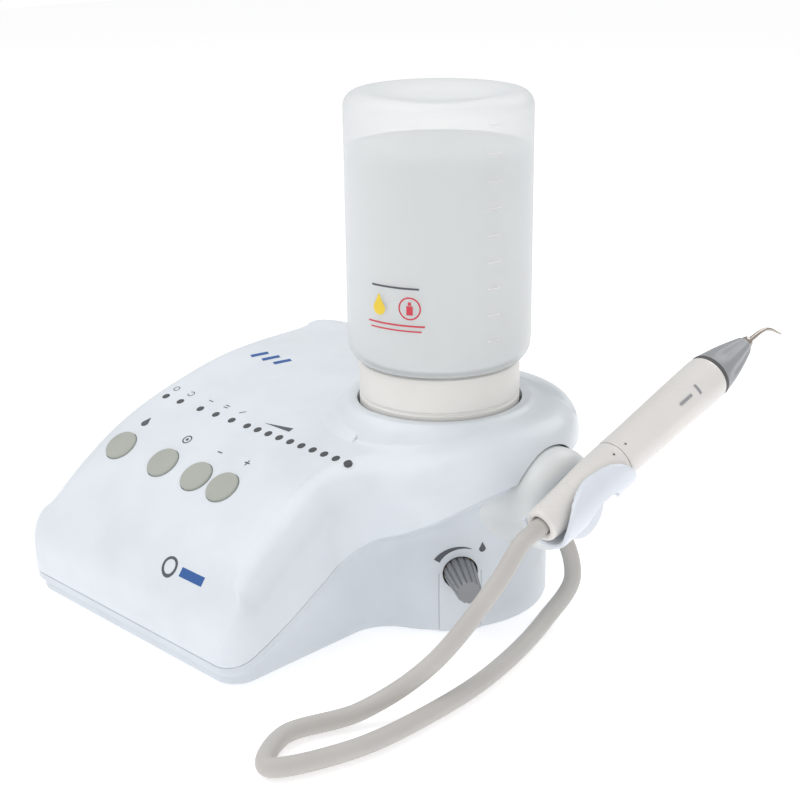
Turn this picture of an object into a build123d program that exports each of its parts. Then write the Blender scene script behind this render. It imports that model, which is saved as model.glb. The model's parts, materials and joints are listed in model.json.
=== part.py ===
"""Desktop ultrasonic dental scaler: control unit, water bottle, handpiece, cradle and cable.

Units are millimetres. The origin is on the desk under the bottle's axis, +X runs to the
operator's right, +Y away from the operator and +Z up. The handpiece lies in its cradle on the
right side, with its tip pointing away and up.
"""
import os
from math import atan2, cos, degrees, hypot, radians, sin, sqrt

from build123d import *

os.makedirs("parts", exist_ok=True)

# ---------------------------------------------------------------- driving dimensions
wall = 2.5                      # casing wall
foot_proud = 1.2                # rubber feet below the base plate
body_left, body_right = -148.0, 12.0
body_front = -142.0
pod_radius = 66.5               # round pod of the cover, centred on the bottle
neck_blend = 22.0               # concave corner between the wedge and the pod
rear_corner = 26.0
seam_gap = 0.4                  # shadow line between cover and base

base_inset = 2.6                # base wall inside the cover's edge on the wedge
pod_wall_radius = 52.0          # base wall around the pod
base_front_corner = 16.0
rim_height = 3.2                # thin rim of the base that follows the cover's edge

boss_top = 100.0
boss_flat_radius = 44.5
boss_foot_radius = 50.5
seat_bore = 39.2                # recess that takes the bottle cap
cap_radius = 37.9
cap_bottom, cap_top = 88.2, 119.2
bottle_radius = 43.0
bottle_top = 243.5
bottle_wall = 1.4
neck_radius = 34.2

button_y, led_y = -98.5, -65.0
button_xs = (-122.8, -89.0, -63.3, -44.0)
button_radius = 8.4
button_travel = 0.8
led_pitch = 7.81
level_led_count = 10
level_led_start = -65.4
mode_led_xs = (-129.3, -117.5, -101.4, -89.2, -77.0)
led_radius = 1.95
hole_clearance = 0.15

knob_angle = -36.0              # bearing of the water knob around the pod
knob_height = 30.5
knob_hole_radius = 8.25
knob_tip = 73.0                 # distance of the knob's face from the bottle's axis
door_width = 19.6

knuckle_y, knuckle_z = 4.5, 64.0
knuckle_radius = 24.0
knuckle_end = 76.0
pivot_radius = 2.5
running_gap = 0.06

handpiece_x = 92.0
handpiece_pitch = 17.4          # degrees above the desk
tail_y, tail_z = -34.5, 69.9
sleeve_length = 52.4
shell_end = 126.2
nose_start, nose_end = 128.2, 157.7
grip_radius = 11.35
clip_bore = 10.75
clip_radius = 13.2

cable_radius = 4.0
outlet_angle = 25.0             # bearing of the cable outlet around the pod
outlet_height = 36.0

# ---------------------------------------------------------------- shared curves and planes
# Side view of the cover's top surface, front edge to back, as (y, z).
profile_points = [
    (body_front, -5), (body_front, 16), (-134, 38.5), (-113, 59), (-83, 77.6),
    (-46, 90.3), (0, 97.8), (40, 98.6), (80, 93),
]
# Side view of the seam between cover and base, as (y, z).
seam_points = [
    (-160, 8), (-138, 11.5), (-121, 17.5), (-95, 31), (-70, 46.5), (-50, 61.5),
    (-34, 71), (-16, 76), (12, 79.5), (80, 82),
]
side_span = 240.0               # length of the prisms that run along X


def profile_line(shift=0.0):
    """Top profile, moved back and down by shift to follow the inside of the wall."""
    moved = [(y + shift, z - shift) for y, z in profile_points]
    return Spline(*moved, tangents=[(0, 1), (1, -0.25)], mode=Mode.PRIVATE)


def top_at(y):
    """Point and unit slope of the cover's top profile at depth y."""
    line = profile_line()
    low, high = 0.0, 1.0
    for _ in range(40):
        middle = (low + high) / 2
        if (line @ middle).X < y:
            low = middle
        else:
            high = middle
    return line @ low, line % low


def panel_plane(x, y):
    """Plane touching the cover's top at (x, y), with its Z pointing out of the panel."""
    point, slope = top_at(y)
    return Plane(origin=(x, y, point.Y), x_dir=(1, 0, 0), z_dir=(0, -slope.Y, slope.X))


def body_outline(left, right, front, pod, blend, corner, front_corner=0.0):
    """Plan of the unit: a wedge whose right side runs into a round pod about the origin."""
    blend_x = right + blend
    blend_y = -sqrt((pod + blend) ** 2 - blend_x**2)
    bearing = degrees(atan2(blend_y, blend_x))
    joint = (pod * cos(radians(bearing)), pod * sin(radians(bearing)))
    with BuildSketch(mode=Mode.PRIVATE) as plan:
        with BuildLine():
            Line((right, front), (right, blend_y))
            TangentArc((right, blend_y), joint, tangent=(0, 1))
            CenterArc((0, 0), pod, bearing, 90 - bearing)
            Line((0, pod), (left + corner, pod))
            CenterArc((left + corner, pod - corner), corner, 90, 90)
            Line((left, pod - corner), (left, front))
            Line((left, front), (right, front))
        make_face()
        if front_corner:
            fillet(plan.vertices().group_by(Axis.Y)[0], front_corner)
    return plan.sketch


def side_prism(line):
    """Solid below a side-view line, as wide as the whole unit."""
    with BuildPart(mode=Mode.PRIVATE) as prism:
        with BuildSketch(Plane.YZ.offset(-side_span * 0.7)) as side:
            with BuildLine():
                add(line)
                Polyline(line @ 1, ((line @ 1).X, -30), ((line @ 0).X, -30), line @ 0)
            make_face()
        extrude(amount=side_span)
    return prism.part


def cover_block(inset):
    """The cover's outer form, or the space inside it when inset is the wall thickness."""
    with BuildPart(mode=Mode.PRIVATE) as block:
        add(side_prism(profile_line(inset)))
        with BuildSketch(Plane.XY.offset(-4)):
            add(body_outline(body_left + inset, body_right - inset, body_front - 30,
                             pod_radius - inset, neck_blend + inset, rear_corner - inset))
        extrude(amount=140, mode=Mode.INTERSECT)
    return block.part


def seam_zone(drop):
    """Everything below the seam, lowered by drop."""
    moved = [(y, z - drop) for y, z in seam_points]
    return side_prism(Spline(*moved, mode=Mode.PRIVATE))


def base_outline(inset):
    return body_outline(body_left + base_inset + inset, body_right - base_inset - inset,
                        body_front + base_inset + inset, pod_wall_radius - inset,
                        neck_blend + inset, rear_corner - inset, base_front_corner - inset)


bottle_axis = Plane.XZ          # revolve profiles are drawn as (radius, height)
knuckle_plane = Plane(origin=(0, knuckle_y, knuckle_z), x_dir=(0, 1, 0), z_dir=(1, 0, 0))
pitch = radians(handpiece_pitch)
handpiece_plane = Plane(origin=(handpiece_x, tail_y, tail_z),
                        x_dir=(0, -sin(pitch), cos(pitch)), z_dir=(0, cos(pitch), sin(pitch)))
outer_block = cover_block(0)
inner_block = cover_block(wall)
below_seam = seam_zone(-seam_gap)

# ---------------------------------------------------------------- casing
screw_spots = [(-132, -118), (-8, -112), (-128, 30), (26, 37)]
post_foot, post_radius, pilot_radius = 8.3, 4.0, 1.56

with BuildPart() as top_cover:
    add(outer_block)
    add(inner_block, mode=Mode.SUBTRACT)
    # Raised ring that frames the bottle recess.
    with BuildSketch(bottle_axis):
        with BuildLine():
            Polyline((seat_bore, 86), (seat_bore, boss_top), (boss_flat_radius, boss_top),
                     (boss_foot_radius, 91), (boss_foot_radius, 86), close=True)
        make_face()
    revolve(axis=Axis.Z)
    with BuildSketch(Plane.XY.offset(80)):
        Circle(seat_bore)
    extrude(amount=40, mode=Mode.SUBTRACT)
    for x in button_xs:
        with BuildSketch(panel_plane(x, button_y).offset(-8)):
            Circle(button_radius + hole_clearance)
        extrude(amount=16, mode=Mode.SUBTRACT)
    level_led_xs = [level_led_start + led_pitch * i for i in range(level_led_count)]
    for x in (*mode_led_xs, *level_led_xs):
        with BuildSketch(panel_plane(x, led_y).offset(-8)):
            Circle(led_radius + 0.05)
        extrude(amount=16, mode=Mode.SUBTRACT)
    add(below_seam, mode=Mode.SUBTRACT)
    # Screw posts reach down from the roof to the wells in the base plate.
    with BuildSketch(Plane.XY.offset(post_foot)):
        with Locations(*screw_spots):
            Circle(post_radius)
    posts = extrude(amount=120, mode=Mode.PRIVATE)
    add(posts & inner_block)
    with BuildSketch(Plane.XY.offset(post_foot)):
        with Locations(*screw_spots):
            Circle(pilot_radius)
    extrude(amount=5, mode=Mode.SUBTRACT)
    with BuildSketch(knuckle_plane.offset(30)):
        Circle(knuckle_radius + 0.5)
    extrude(amount=60, mode=Mode.SUBTRACT)
top_cover.part.label = "top_cover"
export_step(top_cover.part, "parts/top_cover.step")

base_top = seam_zone(0)


def pod_plane(bearing, height):
    """Plane through the bottle's axis whose Z points out of the pod wall and Y points up."""
    out = (cos(radians(bearing)), sin(radians(bearing)), 0)
    return Plane(origin=(0, 0, height), x_dir=(-out[1], out[0], 0), z_dir=out)


knob_plane = pod_plane(knob_angle, knob_height)
outlet_plane = pod_plane(outlet_angle, outlet_height)
rear_wall_y = pod_wall_radius
rear_sockets = {"switch": -112.0, "power": -84.0, "foot": -62.0}
socket_height = 26.0
rear_plane = Plane(origin=(0, rear_wall_y, socket_height), x_dir=(-1, 0, 0), z_dir=(0, 1, 0))

# Rim of the base, which follows the cover's edge just under the seam.
with BuildPart() as rim:
    with BuildSketch(Plane.XY.offset(foot_proud)):
        add(body_outline(body_left + 0.5, body_right - 0.5, body_front + 0.5,
                         pod_radius - 3.0, neck_blend + 0.5, rear_corner - 0.5, base_front_corner))
    extrude(amount=100)
    add(seam_zone(rim_height), mode=Mode.SUBTRACT)

with BuildPart() as base_shell:
    with BuildSketch(Plane.XY.offset(foot_proud)):
        add(base_outline(0))
    extrude(amount=100)
    add(rim.part)
    add(base_top, mode=Mode.INTERSECT)
    with BuildSketch(knuckle_plane.offset(40)):
        Circle(knuckle_radius)
    extrude(amount=knuckle_end - 40)
    with BuildSketch(Plane.XY.offset(foot_proud + wall)):
        add(base_outline(wall))
    extrude(amount=110, mode=Mode.SUBTRACT)
    # The knuckle is hollow behind its end wall, with a bore for the pivot screw.
    with BuildSketch(knuckle_plane.offset(30)):
        Circle(knuckle_radius - 6)
    extrude(amount=41, mode=Mode.SUBTRACT)
    with BuildSketch(knuckle_plane.offset(60)):
        Circle(pivot_radius + running_gap)
    extrude(amount=20, mode=Mode.SUBTRACT)
    # Water knob opening, with a slot below it that the slot cover closes.
    with BuildSketch(knob_plane.offset(40)):
        Circle(knob_hole_radius)
        with Locations((0, -knob_height / 2 - 2)):
            Rectangle(door_width + 0.3, knob_height + 4.0)
    extrude(amount=30, mode=Mode.SUBTRACT)
    with BuildSketch(outlet_plane.offset(40)):
        Circle(5.6)
    extrude(amount=20, mode=Mode.SUBTRACT)
    with BuildSketch(rear_plane.offset(-6)):
        with Locations((-rear_sockets["switch"], 0)):
            Rectangle(19, 13)
        with Locations((-rear_sockets["power"], 0)):
            Circle(6.1)
        with Locations((-rear_sockets["foot"], 0)):
            Circle(5.1)
    extrude(amount=12, mode=Mode.SUBTRACT)
    # Countersunk screw wells in the base plate.
    with Locations(*[Pos(x, y, foot_proud) for x, y in screw_spots]):
        Cylinder(4.6, 7, align=(Align.CENTER, Align.CENTER, Align.MIN))
    with Locations(*[Pos(x, y, foot_proud) for x, y in screw_spots]):
        Cylinder(3.2, 4, align=(Align.CENTER, Align.CENTER, Align.MIN), mode=Mode.SUBTRACT)
        Cylinder(1.65, 20, align=(Align.CENTER, Align.CENTER, Align.MIN), mode=Mode.SUBTRACT)
base_shell.part.label = "base_shell"
export_step(base_shell.part, "parts/base_shell.step")

with BuildPart() as knob_slot_cover:
    with BuildSketch(Plane.XY.offset(foot_proud + 0.1)):
        Circle(pod_wall_radius)
        Circle(pod_wall_radius - wall, mode=Mode.SUBTRACT)
    extrude(amount=knob_height - foot_proud - 0.2)
    with BuildSketch(knob_plane.offset(30)):
        with Locations((0, -knob_height / 2)):
            Rectangle(door_width, knob_height + 4.0)
    extrude(amount=30, mode=Mode.INTERSECT)
    with BuildSketch(knob_plane.offset(30)):
        Circle(knob_hole_radius)
    extrude(amount=40, mode=Mode.SUBTRACT)
knob_slot_cover.part.label = "knob_slot_cover"
export_step(knob_slot_cover.part, "parts/knob_slot_cover.step")

# Soft feet under the corners, under the pod's outer edge and under the bottle.
foot_spots = [(-126, -104), (-12, -98), (-116, 30), (36, 18), (0, 0)]
with BuildPart() as rubber_feet:
    with BuildSketch():
        with Locations(*foot_spots):
            Circle(7)
    extrude(amount=foot_proud)
rubber_feet.part.label = "rubber_feet"
export_step(rubber_feet.part, "parts/rubber_feet.step")

with BuildPart() as case_screws:
    with BuildSketch(Plane.XY.offset(foot_proud + 2)):
        with Locations(*screw_spots):
            Circle(2.9)
    extrude(amount=2)
    with BuildSketch(Plane.XY.offset(foot_proud + 4)):
        with Locations(*screw_spots):
            Circle(1.5)
    extrude(amount=6.7)
case_screws.part.label = "case_screws"
export_step(case_screws.part, "parts/case_screws.step")

# ---------------------------------------------------------------- rear panel
with BuildPart() as power_switch_frame:
    with BuildSketch(rear_plane):
        with Locations((-rear_sockets["switch"], 0)):
            Rectangle(22, 16)
            Rectangle(16.2, 10.2, mode=Mode.SUBTRACT)
    extrude(amount=1.5)
    with BuildSketch(rear_plane.offset(-12)):
        with Locations((-rear_sockets["switch"], 0)):
            Rectangle(18.8, 12.8)
            Rectangle(16.2, 10.2, mode=Mode.SUBTRACT)
    extrude(amount=12)
power_switch_frame.part.label = "power_switch_frame"
export_step(power_switch_frame.part, "parts/power_switch_frame.step")

rocker_pivot_y = rear_wall_y - 2.5
rocker_tilt = 7.0
rocker_plane = Plane(origin=(rear_sockets["switch"], rocker_pivot_y, socket_height),
                     x_dir=(0, cos(radians(rocker_tilt)), sin(radians(rocker_tilt))), z_dir=(1, 0, 0))
with BuildPart() as power_switch_rocker:
    with BuildSketch(rocker_plane.offset(-7.6)):
        with BuildLine():
            Polyline((-3.5, -3.6), (3.4, -4.6), (2.6, 0), (3.4, 4.6), (-3.5, 3.6), close=True)
        make_face()
    extrude(amount=15.2)
power_switch_rocker.part.label = "power_switch_rocker"
export_step(power_switch_rocker.part, "parts/power_switch_rocker.step")

with BuildPart() as power_socket:
    with BuildSketch(rear_plane.offset(-14)):
        with Locations((-rear_sockets["power"], 0)):
            Circle(6.0)
    extrude(amount=14)
    with BuildSketch(rear_plane):
        with Locations((-rear_sockets["power"], 0)):
            Circle(8.0)
    extrude(amount=1.6)
    with BuildSketch(rear_plane.offset(1.6)):
        with Locations((-rear_sockets["power"], 0)):
            Circle(4.0)
            Circle(1.2, mode=Mode.SUBTRACT)
    extrude(amount=-12, mode=Mode.SUBTRACT)
power_socket.part.label = "power_socket"
export_step(power_socket.part, "parts/power_socket.step")

foot_jack_radius, foot_jack_depth = 3.2, 14.0
with BuildPart() as foot_switch_socket:
    with BuildSketch(rear_plane.offset(-16)):
        with Locations((-rear_sockets["foot"], 0)):
            Circle(5.0)
    extrude(amount=16)
    with BuildSketch(rear_plane):
        with Locations((-rear_sockets["foot"], 0)):
            Circle(6.6)
    extrude(amount=1.6)
    with BuildSketch(rear_plane.offset(1.6)):
        with Locations((-rear_sockets["foot"], 0)):
            Circle(foot_jack_radius)
    extrude(amount=-foot_jack_depth, mode=Mode.SUBTRACT)
foot_switch_socket.part.label = "foot_switch_socket"
export_step(foot_switch_socket.part, "parts/foot_switch_socket.step")

# ---------------------------------------------------------------- control panel
button_face = 1.1               # height of a button above the panel
stem_depth = 8.4                # reach of a button's stem below the panel


def button_solid(x):
    """Push button with a crowned face, a retaining flange and a stem."""
    plane = panel_plane(x, button_y)
    with BuildPart(mode=Mode.PRIVATE) as button:
        with BuildSketch(plane.offset(-6)):
            Circle(button_radius)
        extrude(amount=6 + button_face)
        fillet(button.edges().filter_by(GeomType.CIRCLE).sort_by(Axis.Z)[-1], 0.8)
        with BuildSketch(plane.offset(-6.4)):
            Circle(button_radius + 1.1)
        extrude(amount=1.2)
        with BuildSketch(plane.offset(-stem_depth)):
            Circle(1.6)
        extrude(amount=3)
    return button.part


with BuildPart() as water_button:
    add(button_solid(button_xs[0]))
water_button.part.label = "water_button"
export_step(water_button.part, "parts/water_button.step")

with BuildPart() as option_button:
    add(button_solid(button_xs[1]))
option_button.part.label = "option_button"
export_step(option_button.part, "parts/option_button.step")

with BuildPart() as minus_button:
    add(button_solid(button_xs[2]))
minus_button.part.label = "minus_button"
export_step(minus_button.part, "parts/minus_button.step")

with BuildPart() as plus_button:
    add(button_solid(button_xs[3]))
plus_button.part.label = "plus_button"
export_step(plus_button.part, "parts/plus_button.step")

with BuildPart() as led_windows:
    for x in (*mode_led_xs, *level_led_xs):
        with BuildSketch(panel_plane(x, led_y).offset(-6)):
            Circle(led_radius)
        extrude(amount=6.05)
led_windows.part.label = "led_windows"
export_step(led_windows.part, "parts/led_windows.step")

# Sloping circuit board under the panel, parallel to the chord between the two rows.
front_point, _ = top_at(button_y)
back_point, _ = top_at(led_y)
chord = atan2(back_point.Y - front_point.Y, back_point.X - front_point.X)
board_depth = 14.0
board_left, board_right = -134.0, 8.0
board_plane = Plane(
    origin=((board_left + board_right) / 2,
            (button_y + led_y) / 2 + board_depth * sin(chord),
            (front_point.Y + back_point.Y) / 2 - board_depth * cos(chord)),
    x_dir=(1, 0, 0), z_dir=(0, -sin(chord), cos(chord)))
with BuildPart() as panel_board:
    with BuildSketch(board_plane):
        Rectangle(board_right - board_left, 50)
    extrude(amount=-1.6)
panel_board.part.label = "panel_board"
export_step(panel_board.part, "parts/panel_board.step")


half_chord = hypot(back_point.X - front_point.X, back_point.Y - front_point.Y) / 2


def board_spot(x, side):
    """Board coordinates under the panel point at x; side is -1 for the buttons and 1 for the windows."""
    return (x - (board_left + board_right) / 2, side * half_chord)


with BuildPart() as tact_switches:
    with BuildSketch(board_plane):
        with Locations(*[board_spot(x, -1) for x in button_xs]):
            Rectangle(6, 6)
    extrude(amount=3.0)
    with BuildSketch(board_plane.offset(3.0)):
        with Locations(*[board_spot(x, -1) for x in button_xs]):
            Circle(1.5)
    extrude(amount=0.6)
tact_switches.part.label = "tact_switches"
export_step(tact_switches.part, "parts/tact_switches.step")

with BuildPart() as indicator_leds:
    with BuildSketch(board_plane):
        with Locations(*[board_spot(x, 1) for x in (*mode_led_xs, *level_led_xs)]):
            Rectangle(2.4, 2.0)
    extrude(amount=1.2)
indicator_leds.part.label = "indicator_leds"
export_step(indicator_leds.part, "parts/indicator_leds.step")

# ---------------------------------------------------------------- bottle and its seat
seat_floor = 84.0
with BuildPart() as bottle_seat:
    with BuildSketch(bottle_axis):
        with BuildLine():
            Polyline((3.2, 78), (7, 78), (7, seat_floor - 2), (41.2, seat_floor - 2), (41.2, 86),
                     (34, 86), (34, seat_floor + 1.2), (7, seat_floor + 1.2), (5, 86.5), (3.2, 86.5),
                     close=True)
        make_face()
    revolve(axis=Axis.Z)
bottle_seat.part.label = "bottle_seat"
export_step(bottle_seat.part, "parts/bottle_seat.step")

# Hollow pin that opens the bottle's valve and drains the water.
with BuildPart() as drain_pin:
    with BuildSketch(bottle_axis):
        with BuildLine():
            Polyline((1.2, 66), (3.2, 66), (3.2, 89), (2.4, 92.5), (1.2, 92.5), close=True)
        make_face()
    revolve(axis=Axis.Z)
drain_pin.part.label = "drain_pin"
export_step(drain_pin.part, "parts/drain_pin.step")

with BuildPart() as bottle_cap:
    with BuildSketch(bottle_axis):
        with BuildLine():
            Polyline((7.2, cap_bottom), (cap_radius - 1.2, cap_bottom), (cap_radius, cap_bottom + 1.2),
                     (cap_radius, cap_top - 1), (cap_radius - 0.6, cap_top), (neck_radius + 0.2, cap_top),
                     (neck_radius + 0.2, cap_bottom + 2.4), (7.2, cap_bottom + 2.4), close=True)
        make_face()
    revolve(axis=Axis.Z)
    # Fine grip ribs on the part of the skirt that sits in the recess.
    with BuildSketch(Plane.XY.offset(cap_bottom)):
        with PolarLocations(cap_radius + 0.45, 48):
            Circle(0.8)
    extrude(amount=10, mode=Mode.SUBTRACT)
bottle_cap.part.label = "bottle_cap"
export_step(bottle_cap.part, "parts/bottle_cap.step")

with BuildPart() as valve_guide:
    with BuildSketch(bottle_axis):
        with BuildLine():
            Polyline((3.9, cap_bottom + 0.4), (7.1, cap_bottom + 0.4), (7.1, cap_bottom + 2.45),
                     (9, cap_bottom + 2.45), (9, 108), (3.9, 108), close=True)
        make_face()
    revolve(axis=Axis.Z)
valve_guide.part.label = "valve_guide"
export_step(valve_guide.part, "parts/valve_guide.step")

with BuildPart() as valve_stem:
    with BuildSketch(bottle_axis):
        with BuildLine():
            Polyline((0, 92.6), (3.8, 92.6), (3.8, 111), (8, 112), (8, 114), (0, 114), close=True)
        make_face()
    revolve(axis=Axis.Z)
valve_stem.part.label = "valve_stem"
export_step(valve_stem.part, "parts/valve_stem.step")

with BuildPart() as cap_seal:
    with BuildSketch(bottle_axis):
        with Locations(((neck_radius + 31.5) / 2, cap_bottom + 3.2)):
            Rectangle(neck_radius - 31.5, 1.4)
    revolve(axis=Axis.Z)
cap_seal.part.label = "cap_seal"
export_step(cap_seal.part, "parts/cap_seal.step")

shoulder_start, shoulder_height = cap_top + 1.4, 10.0
with BuildPart() as water_bottle:
    with BuildSketch(bottle_axis):
        with BuildLine():
            neck = Line((neck_radius, cap_bottom + 4), (neck_radius, cap_top + 0.3))
            bead = Line(neck @ 1, (36.2, cap_top + 0.3))
            rise = Line(bead @ 1, (36.2, shoulder_start))
            bulge = Spline(rise @ 1, (bottle_radius - 1.2, shoulder_start + 4.4),
                           (bottle_radius, shoulder_start + shoulder_height), tangents=[(1, 0.35), (0, 1)])
            side = Line(bulge @ 1, (bottle_radius, bottle_top - 7))
            crown = TangentArc(side @ 1, (bottle_radius - 7, bottle_top), tangent=(0, 1))
            rim_line = Line(crown @ 1, (bottle_radius - 10, bottle_top))
            dip = Spline(rim_line @ 1, (20, bottle_top - 4), (0, bottle_top - 5),
                         tangents=[(-1, -0.2), (-1, 0)])
            Polyline(dip @ 1, (0, bottle_top - 5 - bottle_wall), (20, bottle_top - 4 - bottle_wall),
                     (bottle_radius - 9, bottle_top - 2 * bottle_wall),
                     (bottle_radius - bottle_wall, bottle_top - 8),
                     (bottle_radius - bottle_wall, shoulder_start + shoulder_height),
                     (bottle_radius - 1.2 - bottle_wall, shoulder_start + 5.4),
                     (neck_radius - 1.8, shoulder_start + 2), (neck_radius - 1.8, cap_bottom + 4), neck @ 0)
        make_face()
    revolve(axis=Axis.Z)
water_bottle.part.label = "water_bottle"
export_step(water_bottle.part, "parts/water_bottle.step")

# ---------------------------------------------------------------- water knob and valve
knob_root, knob_root_radius, knob_tip_radius = 49.8, 7.6, 5.7
with BuildPart() as water_knob:
    with BuildSketch(knob_plane.offset(knob_root)):
        Circle(knob_root_radius)
    with BuildSketch(knob_plane.offset(knob_tip)):
        Circle(knob_tip_radius)
    loft()
    flutes = 14
    for i in range(flutes):
        turn = 360 / flutes * i
        start = knob_plane * Pos(knob_root_radius * cos(radians(turn)), knob_root_radius * sin(radians(turn)), 54)
        finish = knob_plane * Pos(knob_tip_radius * cos(radians(turn)), knob_tip_radius * sin(radians(turn)), 76)
        groove = Plane(origin=start.position, z_dir=finish.position - start.position)
        with BuildSketch(groove):
            Circle(0.8)
        extrude(amount=30, mode=Mode.SUBTRACT)
    with BuildSketch(knob_plane.offset(knob_root)):
        Circle(3.0)
    extrude(amount=8, mode=Mode.SUBTRACT)
water_knob.part.label = "water_knob"
export_step(water_knob.part, "parts/water_knob.step")

with BuildPart() as knob_spindle:
    with BuildSketch(knob_plane.offset(38)):
        Circle(3.0)
    extrude(amount=knob_root + 8 - 38)
knob_spindle.part.label = "knob_spindle"
export_step(knob_spindle.part, "parts/knob_spindle.step")

with BuildPart() as flow_valve:
    with BuildSketch(knob_plane.offset(22)):
        Rectangle(18, 16)
    extrude(amount=20)
    with BuildSketch(knob_plane.offset(42)):
        Circle(5.2)
    extrude(amount=6)
    with BuildSketch(knob_plane.offset(37.9)):
        Circle(3.0 + running_gap)
    extrude(amount=20, mode=Mode.SUBTRACT)
flow_valve.part.label = "flow_valve"
export_step(flow_valve.part, "parts/flow_valve.step")

# ---------------------------------------------------------------- inside the case
main_board_top = 12.0
main_board_hole_spots = [(-120, -96), (-22, -96), (-120, -4), (-22, -4)]
with BuildPart() as board_standoffs:
    with BuildSketch(Plane.XY.offset(foot_proud + wall)):
        with Locations(*main_board_hole_spots):
            Circle(3.2)
    extrude(amount=main_board_top - 1.6 - foot_proud - wall)
board_standoffs.part.label = "board_standoffs"
export_step(board_standoffs.part, "parts/board_standoffs.step")

with BuildPart() as main_board:
    with BuildSketch(Plane.XY.offset(main_board_top)):
        with Locations((-71, -50)):
            Rectangle(110, 104)
        with Locations(*main_board_hole_spots):
            Circle(1.6, mode=Mode.SUBTRACT)
    extrude(amount=-1.6)
main_board.part.label = "main_board"
export_step(main_board.part, "parts/main_board.step")

with BuildPart() as board_screws:
    with BuildSketch(Plane.XY.offset(main_board_top)):
        with Locations(*main_board_hole_spots):
            Circle(2.8)
    extrude(amount=1.8)
board_screws.part.label = "board_screws"
export_step(board_screws.part, "parts/board_screws.step")

with BuildPart() as output_transformer:
    with BuildSketch(Plane.XY.offset(main_board_top)):
        with Locations((-96, -30)):
            Rectangle(30, 26)
    extrude(amount=22)
output_transformer.part.label = "output_transformer"
export_step(output_transformer.part, "parts/output_transformer.step")

with BuildPart() as heat_sink:
    with BuildSketch(Plane.XY.offset(main_board_top)):
        with Locations((-52, -26)):
            Rectangle(36, 24)
    extrude(amount=3)
    with BuildSketch(Plane.XY.offset(main_board_top + 3)):
        with Locations((-52, -26)):
            with GridLocations(5, 1, 7, 1):
                Rectangle(1.6, 24)
    extrude(amount=18)
heat_sink.part.label = "heat_sink"
export_step(heat_sink.part, "parts/heat_sink.step")

with BuildPart() as smoothing_capacitors:
    with BuildSketch(Plane.XY.offset(main_board_top)):
        with Locations((-104, -62)):
            with GridLocations(14, 1, 3, 1):
                Circle(5.5)
    extrude(amount=20)
smoothing_capacitors.part.label = "smoothing_capacitors"
export_step(smoothing_capacitors.part, "parts/smoothing_capacitors.step")

with BuildPart() as solenoid_valve:
    with BuildSketch(Plane.XY.offset(foot_proud + wall)):
        with Locations((-2, 28)):
            Rectangle(24, 18)
    extrude(amount=24)
    with BuildSketch(Plane.XY.offset(foot_proud + wall + 24)):
        with Locations((-2, 28)):
            Circle(3)
    extrude(amount=8)
solenoid_valve.part.label = "solenoid_valve"
export_step(solenoid_valve.part, "parts/solenoid_valve.step")

tube_radius = 2.4


def tube_solid(points, ends, radius):
    """Solid hose of the given radius along a smooth path with the given end directions."""
    with BuildPart(mode=Mode.PRIVATE) as tube:
        with BuildLine():
            path = Spline(*points, tangents=ends)
        with BuildSketch(Plane(origin=path @ 0, z_dir=path % 0)):
            Circle(radius)
        sweep()
    return tube.part


with BuildPart() as supply_tube:
    add(tube_solid([(0, 0, 65.8), (-1, 14, 50), (-2, 28, 36.0)], [(0, 0, -1), (0, 0, -1)], tube_radius))
supply_tube.part.label = "supply_tube"
export_step(supply_tube.part, "parts/supply_tube.step")

valve_back = (knob_plane * Pos(0, 0, 21.8)).position
with BuildPart() as delivery_tube:
    add(tube_solid([(0, 18.8, 14), (5, 2, 21), valve_back], [(0, -1, 0), knob_plane.z_dir], tube_radius))
delivery_tube.part.label = "delivery_tube"
export_step(delivery_tube.part, "parts/delivery_tube.step")

# ---------------------------------------------------------------- cradle
with BuildPart() as cradle_pivot_screw:
    with BuildSketch(knuckle_plane.offset(66.6)):
        Circle(6)
    extrude(amount=3)
    with BuildSketch(knuckle_plane.offset(69.6)):
        Circle(pivot_radius)
    extrude(amount=knuckle_end + 4.9 - 69.6)
cradle_pivot_screw.part.label = "cradle_pivot_screw"
export_step(cradle_pivot_screw.part, "parts/cradle_pivot_screw.step")

with BuildPart() as friction_washer:
    with BuildSketch(knuckle_plane.offset(69.7)):
        Circle(8)
        Circle(pivot_radius + 0.1, mode=Mode.SUBTRACT)
    extrude(amount=1.25)
friction_washer.part.label = "friction_washer"
export_step(friction_washer.part, "parts/friction_washer.step")

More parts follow.
